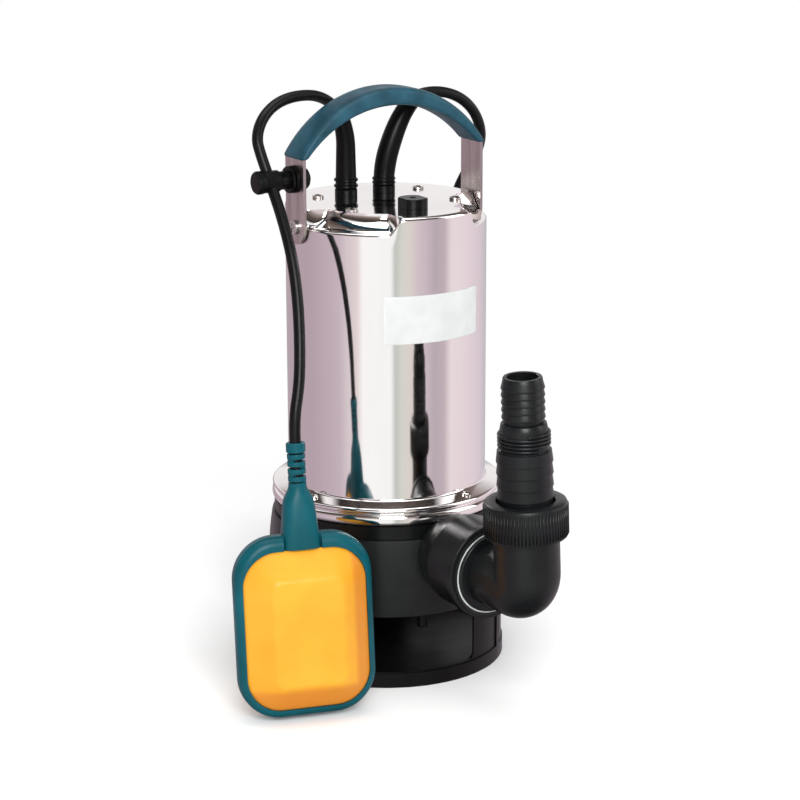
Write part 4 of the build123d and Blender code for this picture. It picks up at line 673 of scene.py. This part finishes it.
def makeBoot(name, data, rings, tree):
    route = mm(data["route"])
    curve = tubeCurve(name, route, 0.001, 12, 6, data["radii"])
    mesh = plainMesh(bpy.data.objects.new(name + "Helper", curve))
    form = bmesh.new()
    form.from_mesh(mesh)
    bmesh.ops.remove_doubles(form, verts=form.verts[:], dist=0.00001)
    bmesh.ops.recalc_face_normals(form, faces=form.faces[:])
    form.to_mesh(mesh)
    form.free()
    meshPiece(name, mesh, "glandPlastic", "pump", [data["replaced"]])
    line = bpy.data.meshes.new(name + "Line")
    line.from_pydata([route[0].lerp(route[1], rings[key]) for key in ("first", "last")], [(0, 1)], [])
    moulded = grown(name + "Rings", line, tree, {
        "Ring Count": rings["count"], "Ring Radius": (data["radii"][0] - rings["sink"]) / 1000,
        "Ring Thickness": rings["thickness"] / 1000}, "glandPlastic")
    meshPiece(name + "Rings", moulded, "glandPlastic", "pump")


bootTree = ringTree()
for name, data in boots.items():
    makeBoot(name, data, bootRings, bootTree)
report("boots")


# Float stem: a bottle-shaped foot over the rim, and a slit neck round the cable
stem = {
    # height, width and depth in millimetres, and how square the section is
    "sections": [(49.4, 24, 20, 3.4), (50.2, 24.8, 20.6, 3.4), (58, 23.4, 20, 3.2), (66, 22, 18.6, 3),
                 (73, 20.8, 17, 2.8), (78, 19.6, 15.6, 2.6), (81, 18, 14.4, 2.4), (84, 15, 13, 2.2),
                 (86.6, 12.4, 11.8, 2), (88.4, 11.4, 11.4, 2), (90.6, 11.2, 11.2, 2)],
    "ringFrom": 91.5, "ringPitch": 4.7, "rings": 4, "ringHeight": 3.1, "ringRadius": 5.7, "ringWall": 1.6,
    "ringEdge": 0.3, "bridge": (4.6, 7, 2), "bridgePlace": (2.5, 0, -2.3), "core": 3.9, "coreBore": 3.6,
    "coreFrom": 89, "collarFrom": 109.6, "collarTo": 115.8, "collarRadius": 6.1, "collarEdges": (0.5, 0.6),
    "coreDrop": 0.4,
}


def stemRingTree():
    # rings stacked up the neck, and bridges between them that change sides from one slit to the next
    tree, given = newTree("stemRings", {
        "Rings": "Int", "Pitch": "Float", "Ring Height": "Float", "Outer Radius": "Float", "Wall": "Float",
        "Edge": "Float", "Bridge": "Vector", "Bridge Place": "Vector"})
    up = addNode(tree, "ShaderNodeCombineXYZ", {2: given["Pitch"]})
    line = addNode(tree, "GeometryNodeMeshLine", {"Count": given["Rings"], "Offset": up.outputs[0]})
    halfWall = addNode(tree, "ShaderNodeMath", {0: given["Wall"], 1: 2.0}, operation="DIVIDE")
    middle = addNode(tree, "ShaderNodeMath", {0: given["Outer Radius"], 1: halfWall.outputs[0]},
                     operation="SUBTRACT")
    circle = addNode(tree, "GeometryNodeCurvePrimitiveCircle", {
        "Resolution": 48, "Radius": middle.outputs[0]})
    section = addNode(tree, "GeometryNodeCurvePrimitiveQuadrilateral", {"Width": given["Wall"],
                                                                        "Height": given["Ring Height"]})
    rounded = addNode(tree, "GeometryNodeFilletCurve", {
        "Curve": section.outputs[0], "Radius": given["Edge"], "Count": 3}, mode="POLY")
    ring = addNode(tree, "GeometryNodeCurveToMesh", {"Curve": circle.outputs["Curve"],
                                                     "Profile Curve": rounded.outputs[0]})
    rings = addNode(tree, "GeometryNodeInstanceOnPoints", {
        "Points": line.outputs["Mesh"], "Instance": ring.outputs[0]})
    index = addNode(tree, "GeometryNodeInputIndex")
    half = addNode(tree, "ShaderNodeMath", {0: index.outputs[0], 1: math.pi}, operation="MULTIPLY")
    side = addNode(tree, "ShaderNodeCombineXYZ", {2: half.outputs[0]})
    block = addNode(tree, "GeometryNodeMeshCube", {"Size": given["Bridge"]})
    shifted = addNode(tree, "GeometryNodeTransform", {"Geometry": block.outputs[0],
                                                      "Translation": given["Bridge Place"]})
    bridges = addNode(tree, "GeometryNodeInstanceOnPoints", {
        "Points": line.outputs["Mesh"], "Instance": shifted.outputs[0], "Rotation": side.outputs[0]})
    both = addNode(tree, "GeometryNodeJoinGeometry")
    tree.links.new(rings.outputs[0], both.inputs[0])
    tree.links.new(bridges.outputs[0], both.inputs[0])
    return closeTree(tree, both.outputs[0], given)


def lofted(name, sections, place, steps=64):
    # rounded-square sections joined into a closed form
    form = bmesh.new()
    rings = []
    for height, width, depth, square in sections:
        edge = [squarePoint(2 * math.pi * i / steps, square) for i in range(steps)]
        rings.append([form.verts.new(place @ (Vector((x * width / 2, y * depth / 2, height)) / 1000))
                      for x, y in edge])
    joinRings(form, rings)
    form.faces.new(rings[0][::-1])
    form.faces.new(rings[-1])
    bmesh.ops.recalc_face_normals(form, faces=form.faces[:])
    return finishedMesh(name, form, 50)


def makeStem(data):
    meshPiece("stemFoot", lofted("stemFoot", data["sections"], floatPlace), "tealPolyamide", "float",
              ["float_stem"])
    rings = grown("stemRings", bpy.data.meshes.new("stemRingBase"), stemRingTree(), {
        "Rings": data["rings"], "Pitch": data["ringPitch"] / 1000, "Ring Height": data["ringHeight"] / 1000,
        "Outer Radius": data["ringRadius"] / 1000, "Wall": data["ringWall"] / 1000,
        "Edge": data["ringEdge"] / 1000, "Bridge": [size / 1000 for size in data["bridge"]],
        "Bridge Place": [size / 1000 for size in data["bridgePlace"]]}, "tealPolyamide")
    lift = (data["ringFrom"] + data["ringHeight"] / 2) / 1000
    rings.transform(floatPlace @ Matrix.Translation((0, 0, lift)))
    meshPiece("stemRings", rings, "tealPolyamide", "float")
    core, bore, outer = data["core"], data["coreBore"], data["collarRadius"]
    low, high, (under, over) = data["collarFrom"], data["collarTo"], data["collarEdges"]
    collar = [(core, low), (outer - under, low), (outer, low + under), (outer, high - over),
              (outer - over, high), (core, high)]
    meshPiece("stemCollar", turned("stemCollar", collar, floatPlace, 48), "tealPolyamide", "float")
    base, end = data["coreFrom"], high - data["coreDrop"]
    sheath = [(bore, base), (core, base), (core, end), (bore, end)]
    meshPiece("stemCore", turned("stemCore", sheath, floatPlace, 40), "chloropreneSheath", "float")


makeStem(stem)
report("float stem")


# Motor can: drawn sheet with a scooped pocket on both sides of its top and a rolled foot;
# millimetres and degrees
motorCan = {
    "radius": 65.5, "top": 308, "edge": 2.5, "sheet": 1.0,
    "columns": 360, "lidRows": 8, "scoopRows": 22, "lipRows": 8, "wallRows": 20,
    "pocketInner": 49, "pocketDepth": 10, "pocketLip": 2.2,
    "pocketFrom": 22, "pocketTo": 88, "pocketFade": 8,
    "coveRadius": 1.8, "coveAxis": (67.3, 125.0), "coveBend": 74,
    # centre radius and height, half width and half height of each rolled ring
    "rolls": [(74.2, 119.4, 2.0, 2.0), (74.0, 113.2, 2.5, 3.9)], "rollEnd": 78,
}


def corner(radius, top, size, share):
    # a point on a rounded outer corner, from its flat top to the wall below it
    bend = math.pi / 2 * share
    return radius - size * (1 - math.sin(bend)), top - size * (1 - math.cos(bend))


def arcPoints(centreR, centreZ, halfWidth, halfHeight, first, last, steps=14):
    turns = [math.radians(first + (last - first) * i / steps) for i in range(steps + 1)]
    return [(centreR + halfWidth * math.cos(turn), centreZ + halfHeight * math.sin(turn)) for turn in turns]


def canOutline(data, share):
    # radius and height from the lid's rim down; share is 0 on the plain edge and 1 in a pocket
    radius, top, inner = data["radius"], data["top"], data["pocketInner"]
    depth, lip = data["pocketDepth"], data["pocketLip"]
    scoopRows, lipRows, wallRows = data["scoopRows"], data["lipRows"], data["wallRows"]
    points = []
    for i in range(scoopRows + lipRows + 1):
        plain = corner(radius, top, data["edge"], i / (scoopRows + lipRows))
        if i <= scoopRows:
            bend = math.pi / 2 * i / scoopRows
            scooped = (inner + (radius - lip - inner) * (1 - math.cos(bend)), top - depth * math.sin(bend))
        else:
            scooped = corner(radius, top - depth, lip, (i - scoopRows) / lipRows)
        points.append([a + (b - a) * share for a, b in zip(plain, scooped)])
    cove, (axisR, axisZ) = data["coveRadius"], data["coveAxis"]
    start = points[-1][1]
    points += [(radius, start + (axisZ - start) * i / wallRows) for i in range(1, wallRows + 1)]
    points += arcPoints(axisR, axisZ, cove, cove, 180, 180 + data["coveBend"])[1:]
    for roll in data["rolls"]:
        points += arcPoints(*roll, data["rollEnd"], -data["rollEnd"])
    return points


def sheetLine(outline, sheet):
    # the same line one sheet thickness further in, which closes the wall
    inside = []
    for i, (r, z) in enumerate(outline):
        before, after = outline[max(i - 1, 0)], outline[min(i + 1, len(outline) - 1)]
        along = Vector((after[0] - before[0], after[1] - before[1])).normalized()
        inside.append([r + along.y * sheet, z - along.x * sheet])
    return inside


def eased(value):
    # 0 up to 1 with a soft start and end
    value = min(max(value, 0), 1)
    return value * value * (3 - 2 * value)


def makeMotorCan(data):
    form = bmesh.new()
    columns, top, lidRows, fade = [], data["top"], data["lidRows"], data["pocketFade"]
    for k in range(data["columns"]):
        turn = 2 * math.pi * k / data["columns"]
        side = abs(math.degrees(math.atan2(math.sin(turn), math.cos(turn))))
        share = eased((side - data["pocketFrom"]) / fade) * eased((data["pocketTo"] - side) / fade)
        outline = canOutline(data, share)
        outer = [(r * outline[0][0] / lidRows, top) for r in range(1, lidRows)] + outline
        inner = sheetLine(outer, data["sheet"])
        columns.append([form.verts.new((r / 1000 * math.cos(turn), r / 1000 * math.sin(turn), z / 1000))
                        for r, z in outer + inner[::-1]])
    poles = [form.verts.new((0, 0, z / 1000)) for z in (top, top - data["sheet"])]
    for column, following in zip(columns, columns[1:] + columns[:1]):
        form.faces.new((poles[0], column[0], following[0]))
        form.faces.new((poles[1], following[-1], column[-1]))
        for quad in zip(column, column[1:], following[1:], following):
            form.faces.new(quad)
    meshPiece("motorCanShell", finishedMesh("motorCanShell", form, 38), "polishedStainless", "pump",
              ["motor_can"])


makeMotorCan(motorCan)
report("motor can")


# Grip: an arched moulding, thick in the middle and blunt at its ends; millimetres
grip = {"width": 25.6, "endHeight": 341.2, "outerEnd": 70.0, "outerTop": 382.2, "innerEnd": 64.2,
        "innerTop": 370.2, "square": 4.2, "rounding": 2.3, "stations": 90, "steps": 56}


def archPoint(end, height, top, share):
    # place on the arc through both ends and the top, with share from -1 to 1
    rise = top - height
    radius = (end * end + rise * rise) / (2 * rise)
    turn = math.asin(end / radius) * share
    return Vector((0, radius * math.sin(turn), top - radius + radius * math.cos(turn)))


def makeGrip(data):
    form = bmesh.new()
    half = math.hypot(data["outerEnd"], data["outerTop"] - data["endHeight"])
    stations, steps, rounding = data["stations"], data["steps"], data["rounding"]
    edge = [squarePoint(2 * math.pi * k / steps, data["square"]) for k in range(steps)]
    rings = []
    for i in range(stations + 1):
        # stations crowd towards the ends, where the edge is rounded
        share = math.sin(math.pi / 2 * (2 * i / stations - 1))
        outer = archPoint(data["outerEnd"], data["endHeight"], data["outerTop"], share)
        inner = archPoint(data["innerEnd"], data["endHeight"], data["innerTop"], share)
        short = max(rounding - (1 - abs(share)) * half, 0) / rounding
        inset = rounding * (1 - math.sqrt(1 - short * short))
        centre, thick = (outer + inner) / 2, outer - inner
        across = Vector((data["width"] / 2 - inset, 0, 0))
        through = thick.normalized() * (thick.length / 2 - inset)
        rings.append([form.verts.new((centre + across * x + through * y) / 1000) for x, y in edge])
    joinRings(form, rings)
    form.faces.new(rings[0])
    form.faces.new(rings[-1])
    bmesh.ops.recalc_face_normals(form, faces=form.faces[:])
    meshPiece("handleGrip", finishedMesh("handleGrip", form, 60), "wornTealPolypropylene", "pump",
              ["handle_grip"])


makeGrip(grip)
report("grip")


# Cable clip: eye with a cap outside the strip, nut inside it; radius and distance from the strip,
# in millimetres
clip = {
    "eye": [(0, 0.3), (8.4, 0.3), (8.8, 0.8), (8.8, 1.9), (8.3, 2.4), (6.6, 2.5), (6.6, 3.1), (8.2, 3.2),
            (8.6, 3.6), (8.6, 4.6), (8.2, 5.1), (5.9, 5.2), (5.9, 11.2), (6.4, 12.0), (6.9, 12.4),
            (7.0, 13.2), (7.0, 23.0), (6.7, 23.4), (7.2, 23.5), (7.4, 24.0), (7.4, 27.0), (6.6, 28.1),
            (0, 28.4)],
    "nut": [(0, -2.3), (7.2, -2.3), (7.5, -2.8), (7.5, -6.4), (6.8, -7.9), (5.2, -9.0), (3.0, -9.6),
            (0, -9.8)],
    "strip": (0, -0.0678, 0.328),
}
clipPlace = fromFrame(clip["strip"], (1, 0, 0), (0, -1, 0))
for name, key, replaced, steps in (("clipEye", "eye", "clip_eye", 64), ("clipNut", "nut", "clip_nut", 12)):
    mesh = turned(name, clip[key], clipPlace, steps)
    meshPiece(name, mesh, "glandPlastic", "pump", [replaced])
report("cable clip")


# Pale grey ring between the discharge socket and the elbow's collar, a painted highlight on the socket's
# edge; millimetres
highlightRing = {"x": 126.8, "z": 90, "radius": 26, "thickness": 0.6, "sectionSteps": 12, "steps": 120}


def makeHighlightRing(data):
    place = fromFrame(Vector((data["x"], 0, data["z"])) / 1000, (0, 1, 0), (1, 0, 0))
    turns = [2 * math.pi * i / data["sectionSteps"] for i in range(data["sectionSteps"])]
    section = [(data["radius"] + data["thickness"] * math.cos(turn), data["thickness"] * math.sin(turn))
               for turn in turns]
    # a thin ring in the pale finish: painted highlight where the socket's edge catches the light
    mesh = turned("socketSealLip", section, place, data["steps"])
    meshPiece("socketSealLip", mesh, "paintedHighlightGrey", "pump")


makeHighlightRing(highlightRing)
report("highlight ring")


# Bare rating plate on the can
ratingPlate = {"radius": 0.0656, "angles": (-33, 30.5), "heights": (0.227, 0.258), "corner": 0.0015,
               "thickness": 0.00015, "columns": 48, "rows": 16}


def curvedPlate(name, data):
    first, last = data["angles"]
    low, high = data["heights"]
    radius, rounding = data["radius"], data["corner"]
    columns, rows = data["columns"], data["rows"]
    width, height = radius * math.radians(last - first), high - low
    form = bmesh.new()
    grid = []
    for i in range(columns + 1):
        line = []
        for j in range(rows + 1):
            u = (i / columns - 0.5) * width
            v = (j / rows - 0.5) * height
            overU = abs(u) - (width / 2 - rounding)
            overV = abs(v) - (height / 2 - rounding)
            reach = math.hypot(max(overU, 0), max(overV, 0))
            if overU > 0 and overV > 0 and reach > rounding:
                # a grid point past the rounded corner is drawn back onto it
                u = math.copysign(width / 2 - rounding + overU * rounding / reach, u)
                v = math.copysign(height / 2 - rounding + overV * rounding / reach, v)
            turn = math.radians((first + last) / 2) + u / radius
            line.append(form.verts.new((
                radius * math.cos(turn), radius * math.sin(turn), (low + high) / 2 + v)))
        grid.append(line)
    for i in range(columns):
        for j in range(rows):
            form.faces.new((grid[i][j], grid[i + 1][j], grid[i + 1][j + 1], grid[i][j + 1]))
    bmesh.ops.solidify(form, geom=form.faces[:], thickness=-data["thickness"])
    bmesh.ops.recalc_face_normals(form, faces=form.faces[:])
    mesh = bpy.data.meshes.new(name)
    form.to_mesh(mesh)
    form.free()
    return mesh


meshPiece("ratingPlate", curvedPlate("ratingPlate", ratingPlate), "whiteFilm", "pump")
report("rating plate")


# Floor, backdrop and light
studio = {
    # reflections seen round the object, as degrees from the camera's side and a colour
    "panels": [
        (-180, "#b5afb2"), (-150, "#b9a7b1"), (-95, "#b8a6b0"), (-70, "#c2b1bb"), (-55, "#cbbac4"),
        (-46, "#d9cdd2"), (-33, "#e8dcdc"), (-27, "#ffffff"), (5, "#fdfffe"), (10, "#c6c9c5"),
        (17, "#d9dbd3"), (26, "#e0d9d2"), (34, "#d9ccd2"), (46, "#d0c1c9"), (57, "#bdb0b8"),
        (70, "#c3b4bc"), (80, "#ebdfe2"), (110, "#e9dbe1"), (140, "#dccfd8"), (165, "#bfbdc2")],
    # reflections seen overhead, as degrees from the camera's horizon over the zenith to the far horizon
    "vault": [
        (0, "#cfc6c6"), (24, "#9b8d87"), (44, "#5d524d"), (72, "#2f2a28"), (84, "#ffffff"), (94, "#ffffff"),
        (104, "#3a3431"), (125, "#5f534e"), (145, "#8d807b"), (158, "#f1eeef"), (180, "#f7f5f5")],
    # where the panels give way to the vault, in those degrees and as a height from -1 to 1
    "vaultFrom": (6, 24), "vaultAbove": (0.02, 0.12),
    # the dark shell under the object, and the heights over which it comes in
    "under": "#3c3a3a", "underFrom": (-0.56, -0.92),
    "facing": 31.5, "ambient": 0.68, "floor": "#f6f6f6", "floorHalf": 6, "floorFade": (0.22, 0.5),
}


def makeFloor(data):
    # a pale floor that keeps the soft shadow and melts into the white backdrop further out
    mesh = bpy.data.meshes.new("floor")
    half = data["floorHalf"]
    corners = [(-half, -half, 0), (half, -half, 0), (half, half, 0), (-half, half, 0)]
    mesh.from_pydata(corners, [], [(0, 1, 2, 3)])
    floor = bpy.data.objects.new("floor", mesh)
    bpy.context.collection.objects.link(floor)
    material = bpy.data.materials.new("floorPaint")
    material.use_nodes = True
    tree = material.node_tree
    tree.nodes.clear()
    coords = addNode(tree, "ShaderNodeTexCoord").outputs["Object"]
    distance = addNode(tree, "ShaderNodeVectorMath", {0: coords}, operation="LENGTH")
    near, far = data["floorFade"]
    fade = addNode(tree, "ShaderNodeMapRange", {
        "Value": distance.outputs["Value"], "From Min": near, "From Max": far},
        interpolation_type="SMOOTHSTEP")
    path = addNode(tree, "ShaderNodeLightPath")
    faded = addNode(tree, "ShaderNodeMath", {0: fade.outputs["Result"], 1: path.outputs["Is Camera Ray"]},
                    operation="MULTIPLY")
    gone = addNode(tree, "ShaderNodeMath", {0: faded.outputs[0], 1: path.outputs["Is Glossy Ray"]},
                   operation="MAXIMUM")
    diffuse = addNode(tree, "ShaderNodeBsdfDiffuse", {"Color": linear(data["floor"])})
    clear = addNode(tree, "ShaderNodeBsdfTransparent")
    mix = addNode(tree, "ShaderNodeMixShader", {
        0: gone.outputs[0], 1: diffuse.outputs[0], 2: clear.outputs[0]})
    addNode(tree, "ShaderNodeOutputMaterial", {"Surface": mix.outputs[0]})
    mesh.materials.append(material)


def fillRamp(ramp, stops):
    elements = ramp.color_ramp.elements
    while len(elements) < len(stops):
        elements.new(1)
    for element, (position, colour) in zip(elements, stops):
        element.position = position
        element.color = linear(colour)


def makeWorld(data):
    # upright panels round the object, a vault over it and a dark shell under it, seen only in reflections
    world = bpy.data.worlds.new("studio")
    bpy.context.scene.world = world
    world.use_nodes = True
    tree = world.node_tree
    tree.nodes.clear()
    coords = addNode(tree, "ShaderNodeTexCoord").outputs["Generated"]
    faced = addNode(tree, "ShaderNodeMapping", {
        "Vector": coords, "Rotation": (0, 0, math.radians(data["facing"]))}, vector_type="POINT")
    split = addNode(tree, "ShaderNodeSeparateXYZ", {0: faced.outputs["Vector"]})
    turn = addNode(tree, "ShaderNodeMath", {0: split.outputs["Y"], 1: split.outputs["X"]},
                   operation="ARCTAN2")
    share = addNode(tree, "ShaderNodeMapRange", {
        "Value": turn.outputs[0], "From Min": -math.pi, "From Max": math.pi})
    panels = addNode(tree, "ShaderNodeValToRGB", {"Fac": share.outputs["Result"]})
    fillRamp(panels, [((angle + 180) / 360, colour) for angle, colour in data["panels"]])
    arc = addNode(tree, "ShaderNodeMath", {0: split.outputs["Z"], 1: split.outputs["X"]},
                  operation="ARCTAN2")
    swing = addNode(tree, "ShaderNodeMapRange", {
        "Value": arc.outputs[0], "From Min": 0.0, "From Max": math.pi})
    vault = addNode(tree, "ShaderNodeValToRGB", {"Fac": swing.outputs["Result"]})
    fillRamp(vault, [(angle / 180, colour) for angle, colour in data["vault"]])
    low, high = [math.radians(angle) for angle in data["vaultFrom"]]
    overhead = addNode(tree, "ShaderNodeMapRange", {
        "Value": arc.outputs[0], "From Min": low, "From Max": high})
    upper = addNode(tree, "ShaderNodeMix", {
        0: overhead.outputs["Result"], 6: panels.outputs["Color"], 7: vault.outputs["Color"]},
        data_type="RGBA")
    low, high = data["vaultAbove"]
    above = addNode(tree, "ShaderNodeMapRange", {
        "Value": split.outputs["Z"], "From Min": low, "From Max": high})
    walls = addNode(tree, "ShaderNodeMix", {
        0: above.outputs["Result"], 6: panels.outputs["Color"], 7: upper.outputs[2]}, data_type="RGBA")
    low, high = data["underFrom"]
    sunk = addNode(tree, "ShaderNodeMapRange", {
        "Value": split.outputs["Z"], "From Min": low, "From Max": high})
    shell = addNode(tree, "ShaderNodeMix", {
        0: sunk.outputs["Result"], 6: walls.outputs[2], 7: linear(data["under"])}, data_type="RGBA")
    path = addNode(tree, "ShaderNodeLightPath")
    inMirror = addNode(tree, "ShaderNodeBackground", {"Color": shell.outputs[2], "Strength": 1.0})
    plain = addNode(tree, "ShaderNodeBackground", {"Color": (1, 1, 1, 1), "Strength": data["ambient"]})
    backdrop = addNode(tree, "ShaderNodeBackground", {"Color": (1, 1, 1, 1), "Strength": 1.0})
    lit = addNode(tree, "ShaderNodeMixShader", {0: path.outputs["Is Glossy Ray"], 1: plain.outputs[0],
                                               2: inMirror.outputs[0]})
    seen = addNode(tree, "ShaderNodeMixShader", {0: path.outputs["Is Camera Ray"], 1: lit.outputs[0],
                                                2: backdrop.outputs[0]})
    addNode(tree, "ShaderNodeOutputWorld", {"Surface": seen.outputs[0]})


lamps = {
    "keyLight": {"place": (1.45, -0.68, 1.05), "target": (0.03, -0.03, 0.2), "size": (0.7, 0.9),
                 "power": 27},
    "fillLight": {"place": (0.9, 1.2, 0.8), "target": (0, 0, 0.15), "size": (0.8, 1.0), "power": 5},
    "topLight": {"place": (0, 0, 1.8), "target": (0, 0, 0.2), "size": (1.2, 1.2), "power": 9},
}


def makeLamp(name, data):
    lamp = bpy.data.lights.new(name, "AREA")
    lamp.shape = "RECTANGLE"
    lamp.size, lamp.size_y = data["size"]
    lamp.energy = data["power"]
    box = bpy.data.objects.new(name, lamp)
    box.location = data["place"]
    aim = Vector(data["target"]) - Vector(data["place"])
    box.rotation_euler = aim.to_track_quat("-Z", "Y").to_euler()
    bpy.context.collection.objects.link(box)


makeFloor(studio)
makeWorld(studio)
for name, data in lamps.items():
    makeLamp(name, data)
report("studio")
